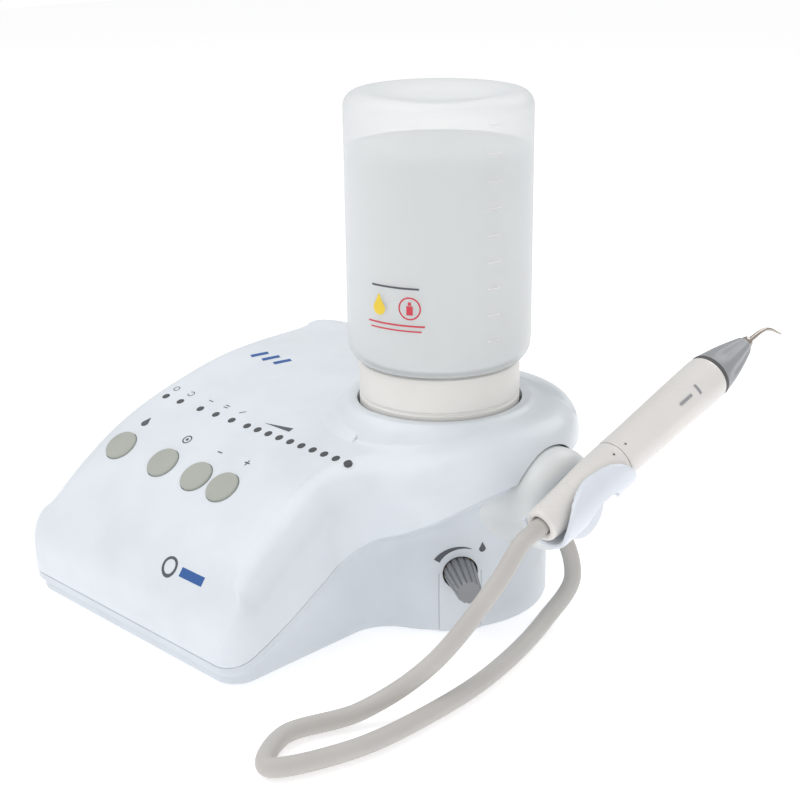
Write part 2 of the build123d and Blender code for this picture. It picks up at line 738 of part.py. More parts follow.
clip_start, clip_end = 2.0, 53.0
clip_side_plane = Plane(origin=(handpiece_x, tail_y, tail_z), x_dir=(0, cos(pitch), sin(pitch)), z_dir=(1, 0, 0))
with BuildPart() as cradle:
    # Half pipe under the handpiece.
    with BuildSketch(handpiece_plane.offset(clip_start)):
        Circle(clip_radius)
    extrude(amount=clip_end - clip_start)
    # Hub that turns against the knuckle.
    with BuildSketch(knuckle_plane.offset(knuckle_end + 0.1)):
        Circle(14)
    extrude(amount=10)
    with BuildSketch(handpiece_plane.offset(-20)):
        Circle(clip_bore)
    extrude(amount=140, mode=Mode.SUBTRACT)
    # Outer arm: its top edge rises from the tail in a wave and falls away at the front.
    with BuildSketch(clip_side_plane):
        with BuildLine():
            wave = Spline((0, -8), (20, 9.2), (36, 9.2), (55, -7), tangents=[(0.4, 1), (0.4, -1)])
            Polyline(wave @ 1, (55, 20), (0, 20), wave @ 0)
        make_face()
    extrude(amount=20, mode=Mode.SUBTRACT)
    # Inner arm: lower and straighter, which leaves the way in open.
    with BuildSketch(clip_side_plane):
        with BuildLine():
            Polyline((0, 3), (10, 5.5), (55, 5.5), (55, 20), (0, 20), close=True)
        make_face()
    extrude(amount=-20, mode=Mode.SUBTRACT)
    # Rounded window through the underside.
    with BuildSketch(Plane(origin=(handpiece_x, tail_y, tail_z), x_dir=(0, cos(pitch), sin(pitch)),
                           z_dir=(0, sin(pitch), -cos(pitch)))):
        with Locations((36, -0.5)):
            RectangleRounded(17.5, 19, 6)
    extrude(amount=20, mode=Mode.SUBTRACT)
    with BuildSketch(knuckle_plane.offset(knuckle_end)):
        Circle(pivot_radius)
    extrude(amount=5, mode=Mode.SUBTRACT)
cradle.part.label = "cradle"
export_step(cradle.part, "parts/cradle.step")

# ---------------------------------------------------------------- cable
table_cable_height = cable_radius + 1.0
sheath_end = (handpiece_plane * Pos(0, 0, 10)).position
tail_point = (handpiece_plane * Pos(0, 0, 0)).position
outlet_inner = (outlet_plane * Pos(0, 0, 46)).position
outlet_outer = (outlet_plane * Pos(0, 0, 60)).position
forward, rising = (0, -1, 0), (0.4, 0.85, 0.3)
rest_point = (88, -95, table_cable_height)
lift_point = (68, -119, 6.6)
cable_runs = [
    # Out of the gland, down to the desk and forward along the unit.
    ([outlet_outer, (66.5, 21, 19), (70, -3, 6), (84, -55, table_cable_height), rest_point],
     [outlet_outer - outlet_inner, forward]),
    # Around a loop on the desk.
    ([rest_point, (85, -140, table_cable_height), (70, -172, table_cable_height),
      (57, -152, table_cable_height), lift_point], [forward, rising]),
    # Up to the tail of the handpiece.
    ([lift_point, (81, -90, 22), (91, -61, 52), tail_point], [rising, sheath_end - tail_point]),
]
with BuildPart() as handpiece_cable:
    for points, ends in cable_runs:
        with BuildLine():
            run = Spline(*points, tangents=ends)
        with BuildSketch(Plane(origin=run @ 0, z_dir=run % 0)):
            Circle(cable_radius)
        sweep(path=run)
    # Straight ends, held in the gland and in the connector sleeve.
    with BuildSketch(outlet_plane.offset(46)):
        Circle(cable_radius)
    extrude(amount=14)
    with BuildSketch(handpiece_plane):
        Circle(cable_radius)
    extrude(amount=10)
handpiece_cable.part.label = "handpiece_cable"
export_step(handpiece_cable.part, "parts/handpiece_cable.step")

with BuildPart() as cable_gland:
    with BuildSketch(outlet_plane.offset(46.5)):
        Circle(5.5)
    extrude(amount=6)
    with BuildSketch(outlet_plane.offset(52.3)):
        Circle(8.0)
    extrude(amount=1.8)
    with BuildSketch(outlet_plane.offset(54.0)):
        Circle(6.6)
    with BuildSketch(outlet_plane.offset(59.0)):
        Circle(5.3)
    loft()
    with BuildSketch(outlet_plane.offset(40)):
        Circle(cable_radius + 0.15)
    extrude(amount=30, mode=Mode.SUBTRACT)
cable_gland.part.label = "cable_gland"
export_step(cable_gland.part, "parts/cable_gland.step")

# ---------------------------------------------------------------- handpiece, along its own axis
def turned(points):
    """Solid of revolution about the handpiece's axis from (radius, distance from the tail) points."""
    profile_plane = Plane(origin=handpiece_plane.origin, x_dir=(1, 0, 0), z_dir=(0, -sin(pitch), cos(pitch)))
    with BuildPart(mode=Mode.PRIVATE) as body:
        with BuildSketch(profile_plane):
            with BuildLine():
                Polyline(*points, close=True)
            make_face()
        revolve(axis=Axis(handpiece_plane.origin, handpiece_plane.z_dir))
    return body.part


with BuildPart() as connector_sleeve:
    add(turned([(4.15, 0), (7.3, 0), (7.8, 0.6), (7.9, 3), (8.1, 10), (8.8, 22), (9.7, 34), (10.1, 46),
                (10.15, sleeve_length), (8.4, sleeve_length), (8.2, 14), (4.15, 12)]))
connector_sleeve.part.label = "connector_sleeve"
export_step(connector_sleeve.part, "parts/connector_sleeve.step")

with BuildPart() as connector_core:
    add(turned([(1.2, 14.2), (8.1, 14.2), (8.3, 40), (8.3, sleeve_length + 2), (7.4, sleeve_length + 2),
                (7.4, 62), (1.2, 62)]))
connector_core.part.label = "connector_core"
export_step(connector_core.part, "parts/connector_core.step")

with BuildPart() as connector_o_rings:
    for distance in (56.0, 59.5):
        add(turned([(7.4, distance - 0.7), (7.9, distance - 0.7), (7.9, distance + 0.7), (7.4, distance + 0.7)]))
connector_o_rings.part.label = "connector_o_rings"
export_step(connector_o_rings.part, "parts/connector_o_rings.step")

with BuildPart() as handpiece_shell:
    add(turned([(8.45, sleeve_length + 0.2), (10.25, sleeve_length + 0.2), (10.45, 70), (11.0, 95),
                (grip_radius, 118), (grip_radius, shell_end), (8.6, shell_end), (8.6, 70), (8.45, 66)]))
handpiece_shell.part.label = "handpiece_shell"
export_step(handpiece_shell.part, "parts/handpiece_shell.step")

with BuildPart() as nose_o_ring:
    add(turned([(8.6, shell_end), (grip_radius - 0.25, shell_end), (grip_radius - 0.25, nose_start),
                (8.6, nose_start)]))
nose_o_ring.part.label = "nose_o_ring"
export_step(nose_o_ring.part, "parts/nose_o_ring.step")

with BuildPart() as nose_cone:
    add(turned([(grip_radius - 0.35, nose_start), (grip_radius - 1.0, 133), (9.6, 138), (8.2, 144),
                (6.5, 150), (4.6, 156), (4.1, nose_end), (3.3, nose_end), (3.3, 155), (5.4, 148), (7.2, 140),
                (8.5, 130), (8.5, nose_start)]))
    for i in range(6):
        bearing = radians(60 * i + 15)
        axis_point = handpiece_plane * Pos(14.6 * cos(bearing), 14.6 * sin(bearing), 128)
        end_point = handpiece_plane * Pos(8.0 * cos(bearing), 8.0 * sin(bearing), 160)
        with BuildSketch(Plane(origin=axis_point.position, z_dir=end_point.position - axis_point.position)):
            Circle(3.2)
        extrude(amount=40, mode=Mode.SUBTRACT)
nose_cone.part.label = "nose_cone"
export_step(nose_cone.part, "parts/nose_cone.step")

with BuildPart() as light_guide:
    add(turned([(3.5, 147), (5.3, 147), (4.2, 151.5), (3.5, 151.5)]))
light_guide.part.label = "light_guide"
export_step(light_guide.part, "parts/light_guide.step")

with BuildPart() as transducer_horn:
    add(turned([(0, 104.2), (6.8, 104.2), (6.8, 112), (5.0, 118), (3.6, 130), (2.9, 140), (2.6, 152),
                (2.6, 157.4), (1.2, 157.4), (1.2, 160.2), (0, 160.2)]))
transducer_horn.part.label = "transducer_horn"
export_step(transducer_horn.part, "parts/transducer_horn.step")

with BuildPart() as piezo_rings:
    for i in range(4):
        start = 91.7 + 3.1 * i
        add(turned([(2.4, start), (6.5, start), (6.5, start + 2.6), (2.4, start + 2.6)]))
piezo_rings.part.label = "piezo_rings"
export_step(piezo_rings.part, "parts/piezo_rings.step")

with BuildPart() as stack_electrodes:
    for i in range(5):
        start = 91.2 + 3.1 * i
        add(turned([(2.4, start), (6.7, start), (6.7, start + 0.5), (2.4, start + 0.5)]))
stack_electrodes.part.label = "stack_electrodes"
export_step(stack_electrodes.part, "parts/stack_electrodes.step")

with BuildPart() as back_mass:
    add(turned([(0, 78), (6.8, 78), (6.8, 91.2), (2.3, 91.2), (2.3, 103.9), (0, 103.9)]))
back_mass.part.label = "back_mass"
export_step(back_mass.part, "parts/back_mass.step")

with BuildPart() as light_ring:
    add(turned([(7.4, 118), (8.4, 118), (8.4, 122), (7.4, 122)]))
light_ring.part.label = "light_ring"
export_step(light_ring.part, "parts/light_ring.step")

# ---------------------------------------------------------------- scaler tip
tip_side_plane = Plane(origin=handpiece_plane.origin, x_dir=(0, cos(pitch), sin(pitch)), z_dir=(1, 0, 0))
with BuildPart() as scaler_tip:
    add(turned([(1.25, 157.5), (2.9, 157.5), (3.1, 161.2), (1.6, 162.6), (0, 162.6), (0, 161.5), (1.25, 161.5)]))
    stations = [(162, -0.2, 1.5), (168, -0.1, 1.25), (173, -0.9, 1.15), (178, -2.9, 0.95),
                (183, -6.2, 0.7), (189.2, -11.9, 0.3)]
    with BuildLine(tip_side_plane):
        shank = Spline(*[(along, up) for along, up, _ in stations], tangents=[(1, 0), (1, -1)])
    for along, _, radius in stations:
        share = (along - stations[0][0]) / (stations[-1][0] - stations[0][0])
        with BuildSketch(Plane(origin=shank @ share, z_dir=shank % share)):
            Circle(radius)
    loft()
scaler_tip.part.label = "scaler_tip"
export_step(scaler_tip.part, "parts/scaler_tip.step")
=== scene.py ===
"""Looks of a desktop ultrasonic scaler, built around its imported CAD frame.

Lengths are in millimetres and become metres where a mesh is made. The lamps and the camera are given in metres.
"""
import json
import math

import bmesh
import bpy
import numpy as np
from mathutils import Matrix, Vector
from mathutils.bvhtree import BVHTree


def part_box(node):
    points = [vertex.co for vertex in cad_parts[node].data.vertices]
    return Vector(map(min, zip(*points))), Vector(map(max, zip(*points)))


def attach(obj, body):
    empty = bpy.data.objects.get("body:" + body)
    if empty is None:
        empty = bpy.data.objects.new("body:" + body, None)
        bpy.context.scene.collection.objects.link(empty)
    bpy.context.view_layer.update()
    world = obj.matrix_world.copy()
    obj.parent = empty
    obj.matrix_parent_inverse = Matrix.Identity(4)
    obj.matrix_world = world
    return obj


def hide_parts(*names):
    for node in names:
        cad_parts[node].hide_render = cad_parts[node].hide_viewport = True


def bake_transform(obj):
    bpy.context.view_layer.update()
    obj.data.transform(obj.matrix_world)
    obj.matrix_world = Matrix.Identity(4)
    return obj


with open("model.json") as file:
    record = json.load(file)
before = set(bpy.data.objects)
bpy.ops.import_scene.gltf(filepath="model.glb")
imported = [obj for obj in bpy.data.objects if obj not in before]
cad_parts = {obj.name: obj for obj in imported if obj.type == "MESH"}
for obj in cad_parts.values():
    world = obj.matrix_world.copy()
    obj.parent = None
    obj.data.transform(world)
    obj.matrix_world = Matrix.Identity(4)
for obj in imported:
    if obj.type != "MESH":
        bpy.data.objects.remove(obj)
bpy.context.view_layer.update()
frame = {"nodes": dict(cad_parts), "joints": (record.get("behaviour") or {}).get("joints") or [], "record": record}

MM = 0.001
X, Y, Z = 0, 1, 2
LOW, HIGH = 0, 1
JOINTS = {joint["name"]: joint for joint in frame["joints"]}


# ---------------------------------------------------------------- measures read from the frame
def reach(node, end, axis):
    """How far a CAD node reaches along an axis, at its low or its high end."""
    return round(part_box(node)[end][axis] / MM, 1)


def middle(node, axis):
    """Halfway between the two ends of a CAD node along an axis."""
    low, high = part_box(node)
    return round((low[axis] + high[axis]) / 2 / MM, 1)


def pivot(joint):
    """Point that a joint turns about."""
    return np.round(np.array(JOINTS[joint]["pos_m"]) / MM, 1)


def axis_angle(joint, rise, run):
    """Angle of a joint's axis in degrees, from one direction towards another."""
    axis = JOINTS[joint]["axis"]
    return round(math.degrees(math.atan2(axis[rise], axis[run])), 1)


# ---------------------------------------------------------------- driving dimensions
RIM_INSET, RIM_HEIGHT, RIM_POD = 0.5, 3.2, 63.6
BODY_LEFT, BODY_RIGHT = reach("top_cover", LOW, X), 12.0
BODY_FRONT = reach("base_shell", LOW, Y) - RIM_INSET
POD = reach("top_cover", HIGH, Y)
NECK_BLEND, REAR_CORNER, FRONT_CORNER = 22.0, 26.0, 12.0
SHOULDER = 16.5
WALL = 2.5
SEAM_GAP = 0.5
BASE_INSET, BASE_POD, BASE_BOTTOM = 2.6, 52.0, reach("base_shell", LOW, Z)
BOSS_TOP, SEAT_BORE = 100.0, 39.2
KNUCKLE_END, KNUCKLE_Y, KNUCKLE_Z = pivot("cradle_tilt")
KNUCKLE_R = 24.0
PITCH = math.radians(axis_angle("handpiece_draw", Z, Y))
TAIL = pivot("tip_unscrew")
ALONG = np.array([0.0, math.cos(PITCH), math.sin(PITCH)])
ABOVE = np.array([0.0, -math.sin(PITCH), math.cos(PITCH)])
ACROSS = np.array([1.0, 0.0, 0.0])

# Side view of the seam between cover and base, front to back, as (y, z).
SEAM_POINTS = [(-160, 8), (-138, 11.5), (-121, 17.5), (-95, 31), (-70, 46.5), (-50, 61.5), (-34, 71),
               (-16, 76), (12, 79.5), (80, 82)]


# ---------------------------------------------------------------- curve and mesh helpers
def through(points, steps=24):
    """Smooth centripetal curve through points of any dimension, as a dense array."""
    p = np.array(points, float)
    p = np.vstack([2 * p[0] - p[1], p, 2 * p[-1] - p[-2]])
    out = []
    for i in range(1, len(p) - 2):
        a, b, c, d = p[i - 1:i + 3]
        t0 = 0.0
        t1 = t0 + np.linalg.norm(b - a) ** 0.5
        t2 = t1 + np.linalg.norm(c - b) ** 0.5
        t3 = t2 + np.linalg.norm(d - c) ** 0.5
        for t in np.linspace(t1, t2, steps, endpoint=False):
            ab = (t1 - t) / (t1 - t0) * a + (t - t0) / (t1 - t0) * b
            bc = (t2 - t) / (t2 - t1) * b + (t - t1) / (t2 - t1) * c
            cd = (t3 - t) / (t3 - t2) * c + (t - t2) / (t3 - t2) * d
            abc = (t2 - t) / (t2 - t0) * ab + (t - t0) / (t2 - t0) * bc
            bcd = (t3 - t) / (t3 - t1) * bc + (t - t1) / (t3 - t1) * cd
            out.append((t2 - t) / (t2 - t1) * abc + (t - t1) / (t2 - t1) * bcd)
    out.append(p[-2])
    return np.array(out)


def eased(points, steps):
    """Smooth curve through points as a list, ready to join to other stretches of an outline."""
    return [tuple(p) for p in through(points, steps)]


def round_over(radius, height, bend, count, start=0.0):
    """Quarter turn at the edge of a turned form, from its side to its end face."""
    turns = np.linspace(start, math.pi / 2, count)
    return [(radius - bend + bend * math.cos(a), height - bend + bend * math.sin(a)) for a in turns]


def make_object(name, verts, faces, smooth_angle=35.0):
    """Mesh object from points in millimetres, smooth except across sharp edges."""
    mesh = bpy.data.meshes.new(name)
    mesh.from_pydata([tuple(v) for v in np.asarray(verts) * MM], [], faces)
    mesh.validate()
    obj = bpy.data.objects.new(name, mesh)
    bpy.context.scene.collection.objects.link(obj)
    bm = bmesh.new()
    bm.from_mesh(mesh)
    bmesh.ops.recalc_face_normals(bm, faces=bm.faces)
    bm.to_mesh(mesh)
    bm.free()
    shade(obj, smooth_angle)
    return obj


def shade(obj, angle):
    """Smooth shading with sharp edges where faces meet at more than angle degrees."""
    mesh = obj.data
    mesh.polygons.foreach_set("use_smooth", [True] * len(mesh.polygons))
    bm = bmesh.new()
    bm.from_mesh(mesh)
    for edge in bm.edges:
        edge.smooth = len(edge.link_faces) != 2 or edge.calc_face_angle(0) < math.radians(angle)
    bm.to_mesh(mesh)
    bm.free()


def sheet(name, rows, close_u=True, close_v=False, cap=False, smooth_angle=35.0):
    """Skin over rows of points, each row the same length; u runs along a row and v across rows."""
    rows = [np.asarray(r, float) for r in rows]
    count = len(rows[0])
    verts = np.vstack(rows)
    faces = []
    for j in range(len(rows) if close_v else len(rows) - 1):
        a, b = j * count, ((j + 1) % len(rows)) * count
        for i in range(count if close_u else count - 1):
            k = (i + 1) % count
            faces.append((a + i, a + k, b + k, b + i))
    if cap:
        faces.append(tuple(range(count))[::-1])
        faces.append(tuple(range((len(rows) - 1) * count, len(rows) * count)))
    return make_object(name, verts, faces, smooth_angle)


def basis(axis, hint=(1.0, 0.0, 0.0)):
    """Two unit vectors square to axis, the first as near hint as it can be."""
    axis = np.array(axis, float)
    axis /= np.linalg.norm(axis)
    first = np.array(hint, float) - axis * np.dot(hint, axis)
    if np.linalg.norm(first) < 1e-6:
        first = np.array([0.0, 1.0, 0.0]) - axis * axis[1]
    first /= np.linalg.norm(first)
    return axis, first, np.cross(axis, first)


def lathe(name, profile, origin, axis, segments=128, warp=None, closed=False, cap=True):
    """Form turned from (radius, distance) points; warp(radius, distance, angle) can flute it.

    A closed profile makes a ring, and an open one is capped at both ends unless cap is off.
    """
    axis, first, second = basis(axis)
    rows = []
    for radius, distance in profile:
        ring = []
        for i in range(segments):
            a = 2 * math.pi * i / segments
            r = warp(radius, distance, a) if warp else radius
            ring.append(np.array(origin) + axis * distance + (first * math.cos(a) + second * math.sin(a)) * r)
        rows.append(ring)
    return sheet(name, rows, close_v=closed, cap=cap and not closed)


def tube_rings(path, radius_at, segments):
    """Rings of a round bar along a path, carried along without twisting.

    radius_at gives the radius for a share of the path, from 0 at its start to 1 at its end.
    """
    path = np.asarray(path, float)
    tangents = np.gradient(path, axis=0)
    tangents /= np.linalg.norm(tangents, axis=1)[:, None]
    first = basis(tangents[0], (0.0, 0.0, 1.0))[1]
    angles = np.linspace(0, 2 * math.pi, segments, endpoint=False)
    rows = []
    for i, (point, tangent) in enumerate(zip(path, tangents)):
        first = first - tangent * np.dot(first, tangent)
        first /= np.linalg.norm(first)
        second = np.cross(tangent, first)
        radius = radius_at(i / (len(path) - 1))
        rows.append([point + (first * math.cos(a) + second * math.sin(a)) * radius for a in angles])
    return rows


def bar(name, rings):
    """Closed bar over rings."""
    return sheet(name, rings, cap=True, smooth_angle=50.0)


def rod(name, origin, axis, radius, low, high, segments=48):
    """Cylinder along axis, from low to high, used as a cutter."""
    return lathe(name, [(radius, low), (radius, high)], origin, axis, segments)


def boxy(name, low, high):
    """Closed box used only as a cutter."""
    x0, y0, z0 = low
    x1, y1, z1 = high
    ring = [(x0, y0), (x1, y0), (x1, y1), (x0, y1)]
    return sheet(name, [[(x, y, z0) for x, y in ring], [(x, y, z1) for x, y in ring]], cap=True)


def joined(name, objects):
    """One object from several, for cutting in one go."""
    mesh = bpy.data.meshes.new(name)
    bm = bmesh.new()
    for obj in objects:
        bm.from_mesh(obj.data)
        bpy.data.objects.remove(obj)
    bm.to_mesh(mesh)
    bm.free()
    result = bpy.data.objects.new(name, mesh)
    bpy.context.scene.collection.objects.link(result)
    return result


def bake(obj):
    """Applies every modifier of obj to its mesh."""
    graph = bpy.context.evaluated_depsgraph_get()
    mesh = bpy.data.meshes.new_from_object(obj.evaluated_get(graph))
    obj.modifiers.clear()
    obj.data = mesh


def cut(obj, cutter):
    """Removes cutter from obj and deletes the cutter."""
    modifier = obj.modifiers.new("cut", "BOOLEAN")
    modifier.operation = "DIFFERENCE"
    modifier.solver = "MANIFOLD"
    modifier.object = cutter
    bake(obj)
    bpy.data.objects.remove(cutter)
    shade(obj, 35.0)


def smoothstep(t):
    """Eases from 0 to 1 as t goes from 0 to 1."""
    t = np.clip(t, 0.0, 1.0)
    return t * t * (3 - 2 * t)


# ---------------------------------------------------------------- plan and side view of the unit
PROFILE_X, PROFILE_STEPS, DROP_FROM = -108.0, 160, 300.0


def read_profile():
    """Cover's top line as (y, z), read down onto the CAD cover clear of its buttons and windows."""
    tree = BVHTree.FromObject(frame["nodes"]["top_cover"], bpy.context.evaluated_depsgraph_get())
    points = []
    for y in np.linspace(BODY_FRONT + 0.15, POD - 0.2, PROFILE_STEPS):
        hit = tree.ray_cast(Vector((PROFILE_X * MM, y * MM, DROP_FROM * MM)), Vector((0, 0, -1)))[0]
        points.append((y, hit.z / MM))
    points[0] = (BODY_FRONT, points[0][1] - 2.0)
    return np.array(points)


TOP_CURVE = read_profile()
SEAM_CURVE = through(SEAM_POINTS)


def top_height(y):
    """Height of the cover's top surface at depth y."""
    return np.interp(y, TOP_CURVE[:, 0], TOP_CURVE[:, 1])


def seam_height(y):
    """Height of the seam between cover and base at depth y."""
    return np.interp(y, SEAM_CURVE[:, 0], SEAM_CURVE[:, 1])


def arc(centre, radius, start, stop, count):
    """Points of an arc between two bearings in degrees, without its last one."""
    angles = np.radians(np.linspace(start, stop, count, endpoint=False))
    return [(centre[0] + radius * math.cos(a), centre[1] + radius * math.sin(a)) for a in angles]


def line(a, b, count):
    """Points of a straight stretch from a to b, without its last one."""
    a, b = np.array(a), np.array(b)
    return [tuple(a + (b - a) * t) for t in np.linspace(0, 1, count, endpoint=False)]


# Number of points along each stretch of the plan, in the order in which it is drawn.
RIGHT_CORNER_POINTS, SIDE_POINTS, BLEND_POINTS, POD_POINTS = 24, 30, 30, 130
REAR_POINTS, REAR_CORNER_POINTS, LEFT_POINTS, LEFT_CORNER_POINTS, FRONT_POINTS = 70, 36, 90, 24, 90


def outline(inset, pod=POD, edge=0.0):
    """Plan of the unit, moved in by inset; edge moves the wedge's own sides in as well."""
    left, right, front = BODY_LEFT + edge + inset, BODY_RIGHT - edge - inset, BODY_FRONT + edge + inset
    ring, blend = pod - inset, NECK_BLEND + inset
    corner, front_corner = REAR_CORNER - inset, max(FRONT_CORNER - inset, 0.3)
    blend_x = right + blend
    blend_y = -math.sqrt((ring + blend) ** 2 - blend_x * blend_x)
    meeting = math.degrees(math.atan2(blend_y, blend_x))
    corner_y = front + front_corner
    points = arc((right - front_corner, corner_y), front_corner, -90, 0, RIGHT_CORNER_POINTS)
    points += line((right, corner_y), (right, blend_y), SIDE_POINTS)
    points += arc((blend_x, blend_y), blend, 180, 180 + meeting, BLEND_POINTS)
    points += arc((0, 0), ring, meeting, 90, POD_POINTS)
    points += line((0, ring), (left + corner, ring), REAR_POINTS)
    points += arc((left + corner, ring - corner), corner, 90, 180, REAR_CORNER_POINTS)
    points += line((left, ring - corner), (left, corner_y), LEFT_POINTS)
    points += arc((left + front_corner, corner_y), front_corner, 180, 270, LEFT_CORNER_POINTS)
    points += line((left + front_corner, front), (right - front_corner, front), FRONT_POINTS)
    return np.array(points)


def level(points, z):
    """Plan points raised to heights z."""
    return np.column_stack([points, np.broadcast_to(z, len(points))])


def outward(bearing):
    """Unit vector away from the bottle's axis at a bearing."""
    a = math.radians(bearing)
    return np.array([math.cos(a), math.sin(a), 0.0])


# ---------------------------------------------------------------- materials
def srgb(r, g, b):
    """Linear colour from 8-bit screen values."""
    linear = [((v / 255 + 0.055) / 1.055) ** 2.4 if v > 10 else v / 255 / 12.92 for v in (r, g, b)]
    return (*linear, 1.0)


def plastic(name, colour, rough=0.35, metal=0.0, coat=0.0, mottle=0.03, grain=900.0, bump=0.05,
            wear=0.25, streak=None):
    """Moulded or turned finish: mottled colour, uneven gloss, fine grain, and edges rubbed lighter."""
    mat = bpy.data.materials.new(name)
    mat.use_nodes = True
    nodes, links = mat.node_tree.nodes, mat.node_tree.links
    shader = nodes["Principled BSDF"]
    shader.inputs["Metallic"].default_value = metal
    shader.inputs["Coat Weight"].default_value = coat
    shader.inputs["Coat Roughness"].default_value = 0.12
    where = nodes.new("ShaderNodeTexCoord")

    def noise(scale, detail, stretch=None):
        """Cloudy pattern, drawn out along an axis by stretch."""
        texture = nodes.new("ShaderNodeTexNoise")
        texture.inputs["Scale"].default_value = scale
        texture.inputs["Detail"].default_value = detail
        if stretch:
            mapping = nodes.new("ShaderNodeMapping")
            mapping.inputs["Scale"].default_value = stretch
            links.new(where.outputs["Object"], mapping.inputs["Vector"])
            links.new(mapping.outputs["Vector"], texture.inputs["Vector"])
        else:
            links.new(where.outputs["Object"], texture.inputs["Vector"])
        return texture.outputs["Fac"]

    def scaled(value, low, high):
        """Pattern spread over a range, without flat patches at its ends."""
        ranged = nodes.new("ShaderNodeMapRange")
        ranged.interpolation_type = "SMOOTHERSTEP"
        ranged.inputs["From Min"].default_value = 0.2
        ranged.inputs["From Max"].default_value = 0.8
        ranged.inputs["To Min"].default_value = low
        ranged.inputs["To Max"].default_value = high
        links.new(value, ranged.inputs["Value"])
        return ranged.outputs["Result"]

    def blended(fac, first, second):
        """Mix of two colours, each a plain colour or another mix."""
        mix = nodes.new("ShaderNodeMix")
        mix.data_type = "RGBA"
        links.new(fac, mix.inputs["Factor"])
        for socket, value in (("A", first), ("B", second)):
            target = [s for s in mix.inputs if s.name == socket and s.type == "RGBA"][0]
            if isinstance(value, tuple):
                target.default_value = value
            else:
                links.new(value, target)
        return [s for s in mix.outputs if s.type == "RGBA"][0]

    dark = tuple(c * (1 - 2 * mottle) for c in colour[:3]) + (1.0,)
    tone = blended(scaled(noise(scale=35.0, detail=4.0), 0.0, 1.0), dark, colour)
    edge = nodes.new("ShaderNodeNewGeometry").outputs["Pointiness"]
    rub = nodes.new("ShaderNodeMapRange")
    rub.inputs["From Min"].default_value = 0.53
    rub.inputs["From Max"].default_value = 0.62
    rub.inputs["To Max"].default_value = wear
    links.new(edge, rub.inputs["Value"])
    pale = tuple(c + (1 - c) * 0.25 for c in colour[:3]) + (1.0,)
    links.new(blended(rub.outputs["Result"], tone, pale), shader.inputs["Base Color"])
    gloss = scaled(noise(scale=14.0, detail=3.0), rough * 0.85, rough * 1.15)
    links.new(gloss, shader.inputs["Roughness"])
    height = nodes.new("ShaderNodeBump")
    height.inputs["Strength"].default_value = bump
    height.inputs["Distance"].default_value = 0.0002
    links.new(noise(scale=grain, detail=2.0, stretch=streak), height.inputs["Height"])
    links.new(height.outputs["Normal"], shader.inputs["Normal"])
    return mat


def see_through(name, centre, rim, clear, solid, rough):
    """Milky plastic or water: clearer where it is seen face on, denser towards its outline."""
    mat = plastic(name, centre, rough=rough, mottle=0.015, grain=260.0, bump=0.04, wear=0.0)
    nodes, links = mat.node_tree.nodes, mat.node_tree.links
    shader = nodes["Principled BSDF"]
    facing = nodes.new("ShaderNodeLayerWeight")
    facing.inputs["Blend"].default_value = 0.35
    ramp = nodes.new("ShaderNodeMapRange")
    ramp.inputs["To Min"].default_value = clear
    ramp.inputs["To Max"].default_value = solid
    links.new(facing.outputs["Facing"], ramp.inputs["Value"])
    links.new(ramp.outputs["Result"], shader.inputs["Alpha"])
    tint = nodes.new("ShaderNodeMix")
    tint.data_type = "RGBA"
    colours = [s for s in tint.inputs if s.type == "RGBA"]
    colours[0].default_value, colours[1].default_value = centre, rim
    links.new(facing.outputs["Facing"], tint.inputs["Factor"])
    links.new([s for s in tint.outputs if s.type == "RGBA"][0], shader.inputs["Base Color"])
    return mat


FINISH = {
    "casing": plastic("casing", srgb(222, 228, 234), rough=0.36, coat=0.15, grain=1500.0, bump=0.03),
    "casing_base": plastic("casing_base", srgb(214, 220, 226), rough=0.38, coat=0.1, grain=1500.0, bump=0.05),
    "cap_plastic": plastic("cap_plastic", srgb(232, 230, 226), rough=0.4, grain=1200.0),
    "bottle_plastic": see_through("bottle_plastic", srgb(240, 242, 242), srgb(212, 216, 218),
                                  clear=0.4, solid=0.97, rough=0.42),
    "button_rubber": plastic("button_rubber", srgb(170, 174, 166), rough=0.55, grain=2600.0, bump=0.12),
    "dark_lens": plastic("dark_lens", srgb(62, 66, 70), rough=0.12, coat=0.5, wear=0.0),
    "knob_grey": plastic("knob_grey", srgb(140, 142, 146), rough=0.45, grain=1800.0, bump=0.1),
    "black_plastic": plastic("black_plastic", srgb(42, 43, 45), rough=0.45, grain=1600.0, bump=0.12),
    "rubber_dark": plastic("rubber_dark", srgb(52, 52, 54), rough=0.7, grain=2200.0, bump=0.2),
    "silicone_seal": plastic("silicone_seal", srgb(180, 182, 184), rough=0.5),
    "board_green": plastic("board_green", srgb(30, 96, 62), rough=0.4, grain=400.0, bump=0.2, mottle=0.12),
    "metal": plastic("metal", srgb(176, 178, 182), rough=0.25, metal=1.0, streak=(1.0, 1.0, 12.0)),
    "tip_steel": plastic("tip_steel", srgb(176, 168, 160), rough=0.22, metal=1.0, grain=1500.0),
    "aluminium": plastic("aluminium", srgb(190, 192, 196), rough=0.35, metal=1.0, streak=(8.0, 1.0, 1.0)),
    "brass": plastic("brass", srgb(198, 164, 96), rough=0.3, metal=1.0),
    "ceramic": plastic("ceramic", srgb(232, 226, 212), rough=0.5, grain=2000.0),
    "cradle_plastic": plastic("cradle_plastic", srgb(222, 227, 235), rough=0.33, coat=0.2, grain=1400.0),
    "handpiece_plastic": plastic("handpiece_plastic", srgb(226, 223, 219), rough=0.3, coat=0.2, grain=1400.0),
    "nose_grey": plastic("nose_grey", srgb(150, 152, 156), rough=0.4, grain=1500.0, bump=0.1),
    "cable_sheath": plastic("cable_sheath", srgb(192, 189, 185), rough=0.5, grain=1500.0, bump=0.1),
    "tube_clear": see_through("tube_clear", srgb(214, 222, 226), srgb(170, 180, 186),
                              clear=0.45, solid=0.9, rough=0.2),
}
WATER = see_through("water", srgb(233, 236, 237), srgb(216, 220, 222), clear=0.9, solid=1.0, rough=0.35)
